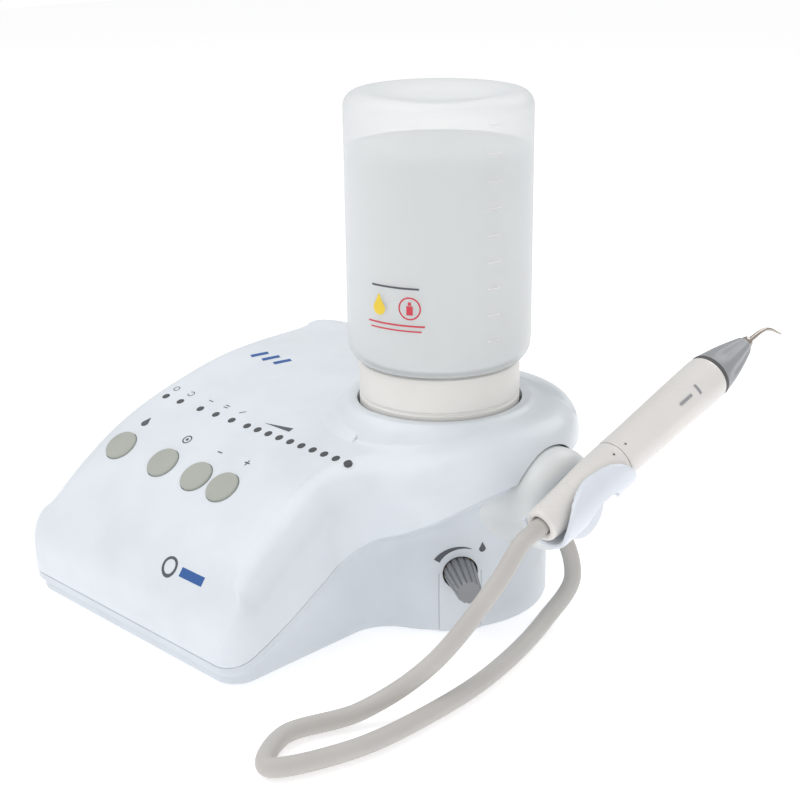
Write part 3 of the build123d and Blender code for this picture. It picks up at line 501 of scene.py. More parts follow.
PRINT_GREY = plastic("print_grey", srgb(84, 88, 94), rough=0.5, wear=0.0, mottle=0.06)
PRINT_BLUE = plastic("print_blue", srgb(42, 92, 160), rough=0.5, wear=0.0, mottle=0.06)
PRINT_RED = plastic("print_red", srgb(206, 58, 74), rough=0.5, wear=0.0, mottle=0.06)
PRINT_YELLOW = plastic("print_yellow", srgb(240, 208, 60), rough=0.5, wear=0.0, mottle=0.06)
# Lighter, warmer copy of the casing colour for the knuckle: painted warm reflected light.
KNUCKLE_PAINTED_LIGHT = plastic("knuckle_painted_light", srgb(226, 229, 229), rough=0.36, coat=0.15, grain=1500.0, bump=0.03)
# Dark grey of the strip in the seam between cover and base: painted shade.
SEAM_SHADE = plastic("seam_shade", srgb(92, 98, 106), rough=0.8, wear=0.0)


def finish_piece(obj, body, slot, *nodes, mat=None):
    """Gives a piece its finish, its body, and the CAD nodes it stands for."""
    obj.data.materials.clear()
    obj.data.materials.append(mat or FINISH[slot])
    if body:
        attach(obj, body)
    if nodes:
        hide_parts(*nodes)
    return obj


# ---------------------------------------------------------------- cover
BOSS_FLAT = 43.2
FRONT_FADE = 18.0
LIP = 0.4
BORE_WALL, BORE_LOW = 2.2, 86.2
ROOF_ROWS = 100
BORE_BEARINGS = (-98.0, -95.0, -67.4)
# A point of the plan that lies on the pod, and roughly its bearing, which tells the turns apart.
POD_POINT, POD_POINT_BEARING = 100, -40.0


def boss_height(r):
    """Height of the raised ring around the bottle, at distance r from its axis."""
    return BOSS_TOP - 0.42 * np.maximum(r - BOSS_FLAT, 0.0) ** 1.6


def roof(points):
    """Heights of the cover's roof over plan points, with the ring blended in."""
    distance = np.hypot(points[:, 0], points[:, 1])
    plain, ring = top_height(points[:, 1]), boss_height(distance)
    soft = 4.0
    together = np.maximum(plain, ring) + soft * np.exp(-np.abs(plain - ring) / soft) * 0.25
    near = smoothstep((distance - SEAT_BORE) / 6.0)
    return together * near + np.maximum(plain, BOSS_TOP) * (1 - near)


def fall(distance, radius):
    """Drop of a rounded shoulder at a distance inside the edge."""
    inside = np.clip(radius - distance, 0.0, None)
    return radius - np.sqrt(np.maximum(radius ** 2 - inside ** 2, 0.0))


def shoulder_radius(edge, seam):
    """Rounding of the cover's upper edge: none at the front, and less where the wall is low."""
    radius = SHOULDER * smoothstep((edge[:, 1] - BODY_FRONT) / FRONT_FADE)
    return np.minimum(radius, np.maximum(roof(edge) - seam - 3.0, 0.0))


def bore_angles(start):
    """Bearings on the bore for the roof's lines, kept in order so that the lines never cross."""
    angles = np.unwrap(np.arctan2(start[:, 1], start[:, 0]))
    angles -= 2 * math.pi * round((angles[POD_POINT] - math.radians(POD_POINT_BEARING)) / (2 * math.pi))
    first, second, last = np.radians(BORE_BEARINGS)
    side_end = RIGHT_CORNER_POINTS + SIDE_POINTS
    blend_end = side_end + BLEND_POINTS
    front = len(angles) - FRONT_POINTS
    angles[:side_end] = np.linspace(first, second, side_end)
    angles[side_end:blend_end] = np.linspace(second, last, BLEND_POINTS, endpoint=False)
    angles[front:] = np.linspace(angles[front], first + 2 * math.pi, FRONT_POINTS, endpoint=False)
    return angles


def cover_outside(seam, radius, start, bore):
    """Rows from the seam up the wall, over the shoulder and across the roof to the bottle's bore."""
    edge = outline(0.0)
    inward = (outline(8.0) - edge) / 8.0
    foot = seam + LIP
    wall_top = roof(edge) - radius
    rows = [level(edge + inward * LIP, seam), level(edge, foot)]
    rows += [level(edge, foot + (wall_top - foot) * t) for t in (0.33, 0.66)]
    for turn in np.linspace(0.0, math.pi / 2, 18):
        distance = SHOULDER * (1 - math.cos(turn))
        moved = outline(distance)
        rows.append(level(moved, roof(moved) - fall(distance, radius)))
    for i in range(1, ROOF_ROWS + 1):
        moved = start + (bore - start) * (i / ROOF_ROWS)
        rows.append(level(moved, roof(moved) - (0.6 if i == ROOF_ROWS else 0.0)))
    return rows


def cover_inside(seam, radius, start, bore, wide):
    """Rows down the bore, back under the roof and down the inner side of the wall to the seam."""
    rows = [level(bore, z) for z in (97.0, 90.0, BORE_LOW)] + [level(wide, BORE_LOW)]
    for share in (0.97, 0.8, 0.6, 0.4, 0.2, 0.0):
        moved = start + (wide - start) * share
        rows.append(level(moved, roof(moved) - WALL))
    for distance, thickness in ((10.0, 2.6), (5.0, 3.0), (2.6, 5.5)):
        moved = outline(distance)
        under = roof(moved) - fall(distance, radius) - thickness
        rows.append(level(moved, np.maximum(under, seam + 0.5)))
    rows.append(level(outline(WALL), seam))
    return rows


def cover_rows():
    """Rows of the closed cover, all round its outside and its inside."""
    edge = outline(0.0)
    seam = seam_height(edge[:, 1]) + SEAM_GAP / 2
    radius = shoulder_radius(edge, seam)
    start = outline(SHOULDER)
    angles = bore_angles(start)
    circle = np.column_stack([np.cos(angles), np.sin(angles)])
    bore, wide = circle * SEAT_BORE, circle * (SEAT_BORE + BORE_WALL)
    return cover_outside(seam, radius, start, bore) + cover_inside(seam, radius, start, bore, wide)


def panel_frame(x, y):
    """Point on the panel and its outward normal."""
    slope = (top_height(y + 0.8) - top_height(y - 0.8)) / 1.6
    normal = np.array([0.0, -slope, 1.0])
    return np.array([x, y, top_height(y)]), normal / np.linalg.norm(normal)


def panel_holes(xs, y, radius, low, high, segments=48):
    """Cutters square to the panel, one at each x along a row."""
    return [rod("hole", *panel_frame(x, y), radius, low, high, segments) for x in xs]


BUTTON_XS = [middle(f"{key}_button", X) for key in ("water", "option", "minus", "plus")]
BUTTON_Y, BUTTON_HOLE = -98.5, 8.7
MODE_XS, POWER_FIRST, POWER_STEP = [-129.3, -117.5, -101.4, -89.2, -77.0], -65.4, 7.81
POWER_LEVELS = 10
LED_XS = MODE_XS + [POWER_FIRST + POWER_STEP * i for i in range(POWER_LEVELS)]
LED_Y, LED_HOLE = -65.0, 2.05

cover = sheet("cover", cover_rows(), close_v=True, smooth_angle=40.0)
holes = panel_holes(BUTTON_XS, BUTTON_Y, BUTTON_HOLE, -9, 6)
holes += panel_holes(LED_XS, LED_Y, LED_HOLE, -7, 5, 24)
holes.append(rod("hole", (0, KNUCKLE_Y, KNUCKLE_Z), (1, 0, 0), KNUCKLE_R + 0.9, 46, 90, 96))
cut(cover, joined("holes", holes))
finish_piece(cover, "root", "casing", "top_cover")


# ---------------------------------------------------------------- dark line in the seam
def seam_rows():
    """Dark strip just inside the seam, painted shade in the gap, which also keeps light from passing through it.
    """
    groove = outline(0.7, RIM_POD, RIM_INSET)
    return [level(groove, seam_height(groove[:, 1]) + z) for z in (-1.2, 0.6, 1.4)]


finish_piece(sheet("seam_shadow", seam_rows()), "root", "casing_base", mat=SEAM_SHADE)


# ---------------------------------------------------------------- base
def base_rows():
    """Rows of the closed base: up the outside, out under the rim, over it and down the inside."""
    wall = outline(0.0, BASE_POD, BASE_INSET)
    inside = outline(WALL, BASE_POD, BASE_INSET)
    inward = (inside - wall) / WALL
    rim = outline(0.0, RIM_POD, RIM_INSET)
    overhang = np.linalg.norm(rim - wall, axis=1)
    seam = seam_height(rim[:, 1]) - SEAM_GAP / 2
    under = np.maximum(seam - RIM_HEIGHT, BASE_BOTTOM + 2.6)
    depth = np.minimum(overhang * 0.95, under - BASE_BOTTOM - 1.5)
    foot, floor_top, lip = BASE_BOTTOM + 1.0, BASE_BOTTOM + WALL, seam - 1.0
    rows = [level(wall + inward * 1.0, BASE_BOTTOM), level(wall + inward * 0.3, BASE_BOTTOM + 0.3)]
    rows.append(level(wall, foot))
    rows += [level(wall, foot + (under - depth - foot) * t) for t in np.linspace(0.1, 1, 10)]
    for turn in np.linspace(0.15, math.pi / 2, 9):
        share = 1 - math.cos(turn)
        rows.append(level(wall + (rim - wall) * share, under - depth + depth * math.sin(turn)))
    rows += [level(rim, under + 0.3), level(rim, seam - 0.3), level(rim + inward * 0.3, seam)]
    rows += [level(wall + inward * 0.5, seam), level(inside, lip)]
    rows += [level(inside, floor_top + (lip - floor_top) * t) for t in (0.6, 0.3, 0.0)]
    return rows


KNOB_BEARING, KNOB_HEIGHT = axis_angle("water_flow_turn", Y, X), pivot("water_flow_turn")[Z]
KNOB_SPOT = (0, 0, KNOB_HEIGHT)
KNOB_HOLE, OUTLET_HOLE = 8.25, 5.6
OUTLET_BEARING, OUTLET_SPOT = 25.0, (0, 0, middle("cable_gland", Z))
SOCKET_HOLES = {"power_socket": 6.1, "foot_switch_socket": 5.1}
SWITCH_HALF_WIDTH, SWITCH_HALF_HEIGHT = 9.5, 6.5
SCREW_SPOTS, WELL_R, WELL_TOP = [(-132, -118), (-8, -112), (-128, 30), (26, 37)], 3.2, 4.4
DOOR_WIDTH, DOOR_GAP = 19.6, 0.2
# Distances between which a cutter passes through the pod's lower wall.
WALL_FROM, WALL_TO = 46, 58


def base_holes():
    """Cutters for the knob, the screw wells, the rear sockets, the cable and the mains switch."""
    holes = [rod("hole", KNOB_SPOT, outward(KNOB_BEARING), KNOB_HOLE, 45, WALL_TO, 64)]
    holes += [rod("hole", (x, y, 0), (0, 0, 1), WELL_R, -1, WELL_TOP, 32) for x, y in SCREW_SPOTS]
    for node, radius in SOCKET_HOLES.items():
        spot = (middle(node, X), 0, middle(node, Z))
        holes.append(rod("hole", spot, (0, 1, 0), radius, WALL_FROM, WALL_TO))
    holes.append(rod("hole", OUTLET_SPOT, outward(OUTLET_BEARING), OUTLET_HOLE, WALL_FROM, WALL_TO))
    x, z = middle("power_switch_frame", X), middle("power_switch_frame", Z)
    holes.append(boxy("hole", (x - SWITCH_HALF_WIDTH, WALL_FROM, z - SWITCH_HALF_HEIGHT),
                      (x + SWITCH_HALF_WIDTH, WALL_TO, z + SWITCH_HALF_HEIGHT)))
    return holes


def door_slot():
    """Block that opens the pod wall below the knob for its slot cover."""
    out = outward(KNOB_BEARING)
    side = np.array([-out[1], out[0], 0.0]) * (DOOR_WIDTH / 2 + DOOR_GAP)
    ring = [out * 45 - side, out * 60 - side, out * 60 + side, out * 45 + side]
    return sheet("slot", [[p + (0, 0, z) for p in ring] for z in (-1.0, KNOB_HEIGHT)], cap=True)


base = sheet("base", base_rows(), cap=True, smooth_angle=40.0)
cut(base, joined("holes", base_holes()))
cut(base, door_slot())
finish_piece(base, "root", "casing_base", "base_shell")


# ---------------------------------------------------------------- knuckle the cradle turns on
def knuckle_profile():
    """Flared neck, rounded edge, and an end face with a shallow groove, as (radius, x)."""
    neck = eased([(33, 42.5), (28.6, 46), (26.2, 50), (24.9, 54), (24.2, 59), (24, 64), (24, 67.5)], 6)
    edge = round_over(KNUCKLE_R, KNUCKLE_END, 8, 12, start=0.05)
    deep = KNUCKLE_END - 0.6
    face = [(15.2, KNUCKLE_END), (15.0, deep), (14.4, deep), (14.2, KNUCKLE_END)]
    return neck + edge + face + [(3, KNUCKLE_END), (3, KNUCKLE_END - 1)]


knuckle = lathe("knuckle", knuckle_profile(), (0, KNUCKLE_Y, KNUCKLE_Z), (1, 0, 0), 160)
# The knuckle wears the lighter copy of the casing colour, which is painted reflected light.
finish_piece(knuckle, "root", "casing_base", mat=KNUCKLE_PAINTED_LIGHT)

# ---------------------------------------------------------------- bottle, water and cap
BOTTLE_R, BOTTLE_TOP = reach("water_bottle", HIGH, X), reach("water_bottle", HIGH, Z)
CAP_R = reach("bottle_cap", HIGH, X)
CAP_LOW, CAP_TOP = (reach("bottle_cap", end, Z) for end in (LOW, HIGH))
NECK_R, NECK_END = 34.2, 119.5
VALVE_HOLE = 7.3
WATERLINE = 219.0


def bottle_profile():
    """Neck, rolled shoulder, side, crowned foot and the dip in it, as (radius, height)."""
    shoulder = eased([(36.2, NECK_END), (38.4, 120.3), (41.2, 123.0), (42.6, 126.6), (BOTTLE_R, 131.0)], 4)
    crown = round_over(BOTTLE_R, BOTTLE_TOP, 7, 12)
    falls = [(33, 0), (27, 1.6), (20, 3.6), (8, 4.8), (0.02, 5)]
    dip = eased([(radius, BOTTLE_TOP - drop) for radius, drop in falls], 4)
    return [(NECK_R, CAP_LOW + 4), (NECK_R, NECK_END)] + shoulder + crown + dip


def water_profile():
    """The water from the neck up to its surface, as (radius, height)."""
    low = [(31.9, CAP_LOW + 6), (31.9, 120.6), (37.5, 122.5), (40.2, 126.5), (41.3, 131)]
    surface = [(41.3, WATERLINE - 0.8), (40.9, WATERLINE - 0.2), (39.5, WATERLINE), (1, WATERLINE)]
    return low + surface


def cap_profile():
    """Ring section of the cap: floor, wall with a groove round it, rounded rim, as (radius, height)."""
    outer = [(VALVE_HOLE, CAP_LOW), (CAP_R - 1.2, CAP_LOW), (CAP_R, CAP_LOW + 1.2)]
    groove = [(CAP_R, 101.6), (CAP_R - 0.5, 102.1), (CAP_R - 0.5, 103.1), (CAP_R, 103.6)]
    rim = [(CAP_R, CAP_TOP - 2.4), (CAP_R - 0.7, CAP_TOP - 0.7), (CAP_R - 2.2, CAP_TOP)]
    inner = [(NECK_R + 0.2, CAP_TOP), (NECK_R + 0.2, CAP_LOW + 2.4), (VALVE_HOLE, CAP_LOW + 2.4)]
    return outer + groove + rim + inner


def upright(name, profile, **options):
    """Form turned about the bottle's axis."""
    return lathe(name, profile, (0, 0, 0), (0, 0, 1), 160, **options)


finish_piece(upright("bottle", bottle_profile(), cap=False), "bottle", "bottle_plastic", "water_bottle")
finish_piece(upright("water", water_profile()), "bottle", "bottle_plastic", mat=WATER)
finish_piece(upright("cap", cap_profile(), closed=True), "cap_unit", "cap_plastic", "bottle_cap")


# ---------------------------------------------------------------- printed marks
INK = 0.07


def disc(centre, radius):
    """Filled circle."""
    return [arc(centre, radius, 0, 360, 28)]


def ring(centre, radius, width, start=0.0, stop=360.0, taper=1.0):
    """Ring or arc as short quads; its width shrinks to taper times itself at the end."""
    quads, steps = [], 40
    turns = np.radians(np.linspace(start, stop, steps + 1))
    for i in range(steps):
        corners = []
        for k, side in ((i, -1), (i, 1), (i + 1, 1), (i + 1, -1)):
            wide = width * (1 + (taper - 1) * k / steps)
            r = radius + side * wide / 2
            corners.append((centre[0] + r * math.cos(turns[k]), centre[1] + r * math.sin(turns[k])))
        quads.append(corners)
    return quads


def stroke(a, b, width, pieces=12):
    """Straight bar from a to b as short quads."""
    a, b = np.array(a, float), np.array(b, float)
    side = np.array([-(b - a)[1], (b - a)[0]])
    side *= width / 2 / np.linalg.norm(side)
    quads = []
    for i in range(pieces):
        p, q = a + (b - a) * i / pieces, a + (b - a) * (i + 1) / pieces
        quads.append([tuple(p - side), tuple(q - side), tuple(q + side), tuple(p + side)])
    return quads


def across(length, width, height=0.0, pieces=12):
    """Level bar centred over the mark's middle."""
    return stroke((-length / 2, height), (length / 2, height), width, pieces)


def droplet(centre, size):
    """Water drop, point up."""
    points = []
    for a in np.linspace(-math.pi / 2, math.pi * 1.5, 36, endpoint=False):
        lift = max(math.sin(a), 0.0)
        points.append((centre[0] + size * math.cos(a) * (1 - 0.55 * lift ** 1.5),
                       centre[1] + size * (math.sin(a) + 0.9 * lift ** 3)))
    return [points]


def mark(name, shapes, place, body, slot, mat):
    """Printed mark: flat shapes laid just above a surface by place(u, v)."""
    verts, faces = [], []
    for shape in shapes:
        faces.append(tuple(range(len(verts), len(verts) + len(shape))))
        verts += [place(u, v) for u, v in shape]
    return finish_piece(make_object(name, verts, faces), body, slot, mat=mat)


def on_panel(x0, y0):
    """Places marks on the cover's top, around (x0, y0), measured along its slope."""
    normal = panel_frame(x0, y0)[1]

    def place(u, v):
        spot, up = panel_frame(x0 + u, y0 + v * normal[Z])
        return spot + up * INK
    return place


def on_round(radius, bearing, height):
    """Places marks on a round wall about the bottle's axis."""
    def place(u, v):
        a = math.radians(bearing) + u / radius
        return np.array([math.cos(a), math.sin(a), 0]) * (radius + INK) + np.array([0, 0, height + v])
    return place


def panel_mark(name, shapes, x, y, ink=PRINT_GREY):
    """Mark on the cover's top."""
    mark(name, shapes, on_panel(x, y), "root", "casing", ink)


def knob_mark(name, shapes):
    """Mark on the pod's lower wall, around the water knob."""
    mark(name, shapes, on_round(BASE_POD, KNOB_BEARING, KNOB_HEIGHT), "root", "casing_base", PRINT_GREY)


def bottle_mark(name, shapes, ink):
    """Mark of the refill label on the bottle."""
    mark(name, shapes, on_round(BOTTLE_R, -74.0, 145.5), "bottle", "bottle_plastic", ink)


LABEL_Y = -84.0
EMBLEM_SPOT, SERIES_SPOT = (-108.0, -12.0), (-42.0, -132.0)
panel_mark("mark_water", droplet((0, 0), 2.2), -122, LABEL_Y)
panel_mark("mark_option", ring((0, 0), 2.3, 0.7) + disc((0, 0), 0.9), -88, LABEL_Y)
panel_mark("mark_minus", across(3.2, 0.7), -63, LABEL_Y)
panel_mark("mark_plus", across(3.4, 0.7) + stroke((0, -1.7), (0, 1.7), 0.7), -43, LABEL_Y)
mode_marks = [ring((0, 0), 1.6, 0.5), ring((0, 0), 1.7, 0.5, 200, 500), across(3.0, 0.6),
              across(3.0, 0.6, 0.8) + across(3.0, 0.6, -0.8), stroke((-1.4, -1.2), (1.4, 1.2), 0.6)]
for number, (x, shapes) in enumerate(zip(MODE_XS, mode_marks), start=1):
    panel_mark(f"mark_mode_{number}", shapes, x, LED_Y + 7.0)
panel_mark("mark_power_ramp", [[(-9, -0.2), (9, -0.2), (9, 2.8)]], -50, LED_Y + 5.5)
emblem = sum([stroke((x, -4.2), (x + 4.0, 4.2), 3.6) for x in (-12, -3, 6)], [])
panel_mark("mark_emblem", emblem, *EMBLEM_SPOT, PRINT_BLUE)
panel_mark("mark_series_ring", ring((0, 0), 4.2, 1.5), *SERIES_SPOT)
panel_mark("mark_series_bar", stroke((8, 0), (24, 0), 4.4), *SERIES_SPOT, PRINT_BLUE)
knob_mark("mark_flow_arc", ring((0, 0), 12.6, 3.0, 150, 66, taper=0.12))
knob_mark("mark_flow_drop", droplet((10.5, 11.0), 1.7))
bottle_mark("mark_refill_line", across(29, 0.8, pieces=24), PRINT_RED)
bottle_mark("mark_refill_note", across(26, 0.7, -2.4, pieces=24), PRINT_RED)
bottle_mark("mark_refill_ring", ring((7.5, 8.0), 4.9, 0.7), PRINT_RED)
small_bottle = stroke((7.5, 5.0), (7.5, 9.2), 3.0) + stroke((7.5, 9.4), (7.5, 11.0), 1.5)
bottle_mark("mark_refill_bottle", small_bottle, PRINT_RED)
bottle_mark("mark_refill_drop", droplet((-8.0, 6.8), 3.4), PRINT_YELLOW)
bottle_mark("mark_refill_top", across(24, 0.9, 17.0, pieces=24), PRINT_GREY)
ticks = sum([across(6.4, 0.35, 12 * i) for i in range(9)], [])
mark("mark_graduation", ticks, on_round(BOTTLE_R, -12.0, 137.0), "bottle", "bottle_plastic",
     FINISH["cap_plastic"])

# ---------------------------------------------------------------- water knob
FLUTES, FLUTE_DEPTH = 14, 0.85


def fluted(radius, distance, angle):
    """Grooves along the knob that run out at its end."""
    groove = (0.5 + 0.5 * math.cos(FLUTES * angle)) ** 6
    return radius - FLUTE_DEPTH * groove * min(1.0, max(0.0, (73.2 - distance) / 1.2))


def knob_profile():
    """Tapered side and rounded end, as (radius, distance from the bottle's axis)."""
    side = [(7.6 - 1.9 * (d - 50.4) / 21.4, d) for d in np.linspace(51, 71.6, 22)]
    edge = [(4.7 + 1.0 * math.cos(a), 71.8 + 1.1 * math.sin(a)) for a in np.linspace(0.1, math.pi / 2, 6)]
    return [(2.0, 49.9), (7.4, 49.9), (7.6, 50.4)] + side + edge + [(3.0, 72.95), (0.6, 72.95)]


knob = lathe("flow_knob_body", knob_profile(), KNOB_SPOT, outward(KNOB_BEARING), 140, warp=fluted)
finish_piece(knob, "flow_knob", "knob_grey", "water_knob")


# ---------------------------------------------------------------- handpiece
# Its profiles are written as (radius, distance from the tail).
def turned(name, profile, body, slot, *nodes, warp=None):
    """Hollow turned part along the handpiece's axis."""
    obj = lathe(name, profile, TAIL, ALONG, warp=warp, closed=True)
    return finish_piece(obj, body, slot, *nodes)


def sleeve_profile():
    """Rear sleeve: rounded tail, slow taper and an open front."""
    tail = eased([(4.2, 3.0), (4.6, 0.9), (5.8, 0.0), (7.0, 0.25), (7.7, 1.3), (7.85, 3.0)], 4)
    side = eased([(7.9, 4.0), (8.1, 10), (8.8, 22), (9.6, 34), (10.0, 44), (10.1, 51.6)], 5)
    return tail + side + [(9.9, 52.3), (8.4, 52.3), (8.4, 14), (4.2, 12)]


def shell_profile():
    """Grip: swells slowly towards its front."""
    grip = [(10.25, 54), (10.4, 68), (10.9, 92), (11.25, 110), (11.35, 120), (11.3, 125.2)]
    rear, front = [(8.5, 52.7), (10.0, 52.7), (10.2, 53.3)], [(11.0, 126.1), (8.7, 126.1), (8.6, 70)]
    return rear + eased(grip, 6) + front


def nose_profile():
    """Nose: closes in a long curve to the tip's collar, with a tapering bore."""
    cone = [(11.0, 128.5), (10.8, 130), (10.3, 134), (9.4, 139), (8.1, 145), (6.5, 151), (5.0, 156),
            (4.3, 157.5)]
    bore = [(3.35, 157.6), (3.35, 155), (5.2, 148), (7.0, 139), (8.4, 130)]
    return [(8.5, 128.3), (10.8, 128.25)] + eased(cone, 5) + bore


def petals(radius, distance, angle):
    """Six shallow flats on the nose, faded out at both of its ends."""
    if radius <= 4.2 or distance <= 128.4:
        return radius
    fade = smoothstep((distance - 128.6) / 10.0) * smoothstep((158.5 - distance) / 5.0)
    return radius * (1 - 0.11 * fade * (0.5 + 0.5 * math.cos(6 * angle)) ** 2)


def tip_hook():
    """Working end: a tapering bar that leaves the axis in a hook, from (along, above) points."""
    hook = [(161.5, -0.3), (168, -0.6), (172.5, -0.95), (177, -2.1), (182, -5.2), (186, -8.9), (189.2, -11.9)]
    path = [TAIL + ALONG * s + ABOVE * t for s, t in through(hook, 10)]
    return bar("tip_hook", tube_rings(path, lambda share: 1.35 - 1.0 * share ** 1.3, 24))


collar = [(1.3, 157.7), (2.7, 157.7), (2.95, 158.2), (3.05, 160.6), (2.7, 161.6), (1.9, 162.6), (1.3, 163.0),
          (1.25, 160)]
turned("hose_sleeve", sleeve_profile(), "hose_end", "handpiece_plastic", "connector_sleeve")
turned("shell", shell_profile(), "handpiece", "handpiece_plastic", "handpiece_shell")
turned("nose", nose_profile(), "handpiece", "nose_grey", "nose_cone", warp=petals)
turned("tip_collar", collar, "tip", "tip_steel")
finish_piece(tip_hook(), "tip", "tip_steel", "scaler_tip")


def handpiece_mark(name, shapes, body, radius, along, bearing, ink=PRINT_GREY):
    """Mark on the handpiece, at a bearing measured from its outer side towards its top."""
    def place(u, v):
        a = math.radians(bearing) + v / radius
        return TAIL + ALONG * (along + u) + (ACROSS * math.cos(a) + ABOVE * math.sin(a)) * (radius + INK)
    mark(name, shapes, place, body, "handpiece_plastic", ink)


bars = sum([stroke((u, -2.6), (u, 2.6), 1.6) for u in (0, 5.0, 8.5)], []) + stroke((-14.0, 0), (-5.0, 0), 1.4)
handpiece_mark("mark_line_up_front", disc((0, 0), 0.55), "handpiece", 10.25, 56.5, 58)
handpiece_mark("mark_line_up_rear", disc((0, 0), 0.55), "hose_end", 10.1, 48.0, 58)
handpiece_mark("mark_grip_bars", bars, "handpiece", 11.2, 108.0, 40, FINISH["nose_grey"])


# ---------------------------------------------------------------- cradle
def soften(obj, cell, passes):
    """Rebuilds a mesh from small cells and smooths it, which rounds its edges."""
    remesh = obj.modifiers.new("remesh", "REMESH")
    remesh.mode = "VOXEL"
    remesh.voxel_size = cell * MM
    smooth = obj.modifiers.new("smooth", "SMOOTH")
    smooth.iterations = passes
    smooth.factor = 0.5
    bake(obj)
    shade(obj, 50.0)
    return obj


def rounded_copy(node, name, cell, passes):
    """Copy of a CAD node with its edges softened."""
    obj = bpy.data.objects.new(name, frame["nodes"][node].data.copy())
    bpy.context.scene.collection.objects.link(obj)
    return soften(obj, cell, passes)


def arm_block():
    """Block over the upper part of the cradle's inner arm, beside the handpiece."""
    corners = [(-18, -1.5), (-4, -1.5), (-4, 12), (-18, 12)]
    ends = [TAIL + ALONG * s for s in (-4, 60)]
    return sheet("arm", [[end + ACROSS * x + ABOVE * t for x, t in corners] for end in ends], cap=True)


def window_block():
    """Block in the shape of the rounded window in the lower side of the cradle's outer arm."""
    lean, middle_at, half_length, half_width, roundness = math.radians(-48), 30, 11, 7.6, 0.6
    out = ACROSS * math.cos(lean) + ABOVE * math.sin(lean)
    side = np.cross(ALONG, out)
    loop = []
    for a in np.linspace(0, 2 * math.pi, 40, endpoint=False):
        u, v = (np.sign(t) * abs(t) ** roundness for t in (math.cos(a), math.sin(a)))
        loop.append(TAIL + ALONG * (middle_at + half_length * u) + side * (half_width * v))
    return sheet("window", [[p + out * depth for p in loop] for depth in (5, 20)], cap=True)


cradle = rounded_copy("cradle", "handpiece_cradle", 0.55, 3)
cut(cradle, joined("cutters", [arm_block(), window_block()]))
soften(cradle, 0.6, 7)
finish_piece(cradle, "holder", "cradle_plastic", "cradle")

# ---------------------------------------------------------------- cable
CABLE_R, CABLE_STEPS = 4.0, 24
DESK = CABLE_R + 1.0
# Points of the path at which the cable starts to rise with the cradle, and at which it joins the cradle.
RISE_POINT, CRADLE_POINT = 10, 12


def cable_path():
    """Path from the gland down to the desk, forward in a loop, and up into the handpiece's tail."""
    gland = [OUTLET_SPOT + outward(OUTLET_BEARING) * distance for distance in (46, 60)]
    down = [(66.5, 21, 19), (70, -3, 6.2)]
    loop = [(84, -55, DESK), (88, -95, DESK), (85, -140, DESK), (70, -172, DESK), (57, -152, DESK)]
    up = [(68, -119, 6.6), (81, -90, 22), (91, -61, 52)]
    into_tail = [TAIL + ALONG * distance for distance in (-12, -2, 10)]
    return through(gland + down + loop + up + into_tail, CABLE_STEPS)


rings = tube_rings(cable_path(), lambda share: CABLE_R, 28)
rise, tail = RISE_POINT * CABLE_STEPS, CRADLE_POINT * CABLE_STEPS
finish_piece(bar("cable_loop", rings[:rise + 1]), "root", "cable_sheath", "handpiece_cable")
rising = finish_piece(bar("cable_rise", rings[rise:tail + 1]), None, "cable_sheath")
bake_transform(rising)
into_sleeve = finish_piece(bar("cable_tail", rings[tail:]), None, "cable_sheath")
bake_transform(into_sleeve)

# ---------------------------------------------------------------- finishes of the CAD nodes that stay
for part in frame["record"]["subparts"]:
    node = frame["nodes"][part["node"]]
    if not node.hide_render:
        node.data.materials.clear()
        node.data.materials.append(FINISH[part["material_slot"]])
        shade(node, 30.0)


# ---------------------------------------------------------------- floor, light and camera
def lay_floor(half, glow):
    """Pale floor that glows faintly, so that it stays paler than the object's shadow side."""
    rows = [[(-half, -half, 0), (half, -half, 0)], [(-half, half, 0), (half, half, 0)]]
    floor = sheet("floor", rows, close_u=False)
    paper = plastic("floor_paper", (0.88, 0.88, 0.89, 1.0), rough=0.9, mottle=0.004, wear=0.0, bump=0.0)
    shader = paper.node_tree.nodes["Principled BSDF"]
    shader.inputs["Emission Color"].default_value = (1.0, 1.0, 1.0, 1.0)
    shader.inputs["Emission Strength"].default_value = glow
    shader.inputs["Specular IOR Level"].default_value = 0.0
    floor.data.materials.append(paper)


def lamp(name, spot, target, size, power):
    """Round soft lamp at spot, aimed at target."""
    light = bpy.data.lights.new(name, "AREA")
    light.shape = "DISK"
    light.size = size
    light.energy = power
    obj = bpy.data.objects.new(name, light)
    bpy.context.scene.collection.objects.link(obj)
    obj.location = spot
    obj.rotation_euler = (Vector(target) - Vector(spot)).to_track_quat("-Z", "Y").to_euler()


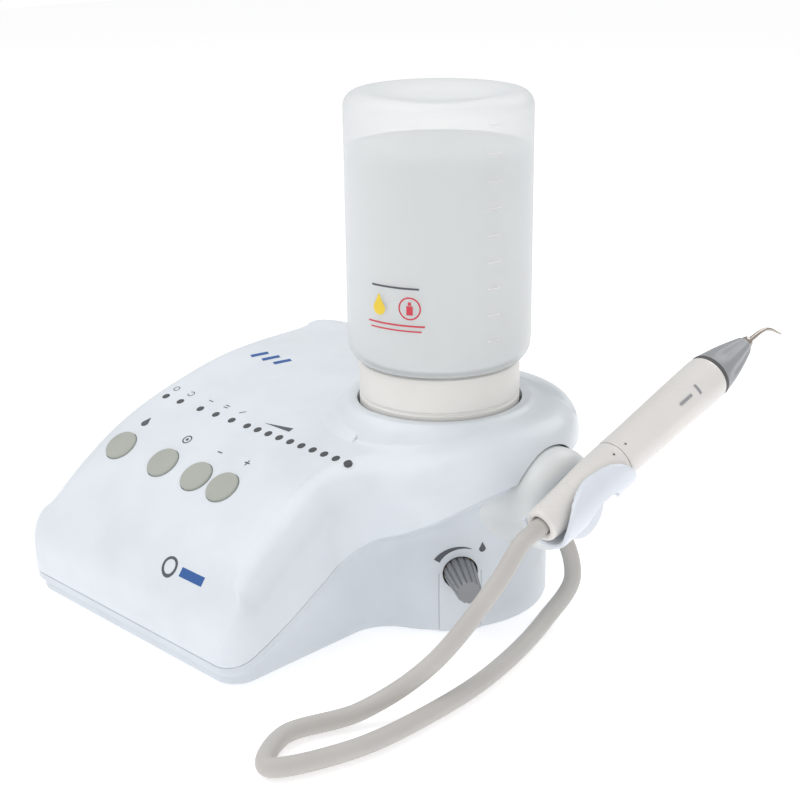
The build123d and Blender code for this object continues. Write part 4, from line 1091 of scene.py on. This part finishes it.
def white_room(light, seen):
    """White surroundings that light the scene less than they show to the camera."""
    world = bpy.data.worlds.new("studio")
    bpy.context.scene.world = world
    world.use_nodes = True
    nodes, links = world.node_tree.nodes, world.node_tree.links
    nodes["Background"].inputs["Color"].default_value = (1.0, 1.0, 1.0, 1.0)
    path = nodes.new("ShaderNodeLightPath")
    glow = nodes.new("ShaderNodeMapRange")
    glow.inputs["To Min"].default_value = light
    glow.inputs["To Max"].default_value = seen
    links.new(path.outputs["Is Camera Ray"], glow.inputs["Value"])
    links.new(glow.outputs["Result"], nodes["Background"].inputs["Strength"])


def place_camera(spot, azimuth, tilt, roll, lens):
    """Camera at spot, looking level from an azimuth and then tilted down and rolled, in degrees."""
    azimuth, tilt, roll = (math.radians(angle) for angle in (azimuth, tilt, roll))
    right = Vector((math.cos(azimuth), math.sin(azimuth), 0.0))
    back = Vector((math.sin(azimuth) * math.cos(tilt), -math.cos(azimuth) * math.cos(tilt), math.sin(tilt)))
    up = back.cross(right)
    turn = Matrix(((math.cos(roll), math.sin(roll), 0), (-math.sin(roll), math.cos(roll), 0), (0, 0, 1)))
    rows = turn @ Matrix((right, up, back))
    data = bpy.data.cameras.new("camera")
    data.lens = lens
    data.sensor_width = 36.0
    camera = bpy.data.objects.new("camera", data)
    bpy.context.scene.collection.objects.link(camera)
    camera.matrix_world = Matrix.Translation(spot) @ rows.transposed().to_4x4()
    bpy.context.scene.camera = camera


lay_floor(half=3000, glow=0.42)
lamp("key", spot=(-0.5, -0.5, 1.3), target=(-0.02, -0.02, 0.1), size=1.5, power=9.0)
lamp("fill", spot=(1.1, -0.5, 0.6), target=(0.0, 0.0, 0.1), size=1.4, power=2.2)
lamp("back", spot=(0.1, 1.0, 0.9), target=(0.0, 0.0, 0.1), size=0.8, power=3.0)
white_room(light=0.62, seen=1.0)
bpy.context.scene.view_settings.view_transform = "Standard"
place_camera(spot=(0.4831, -0.5069, 0.3408), azimuth=45.161, tilt=19.202, roll=-0.711, lens=70.04)
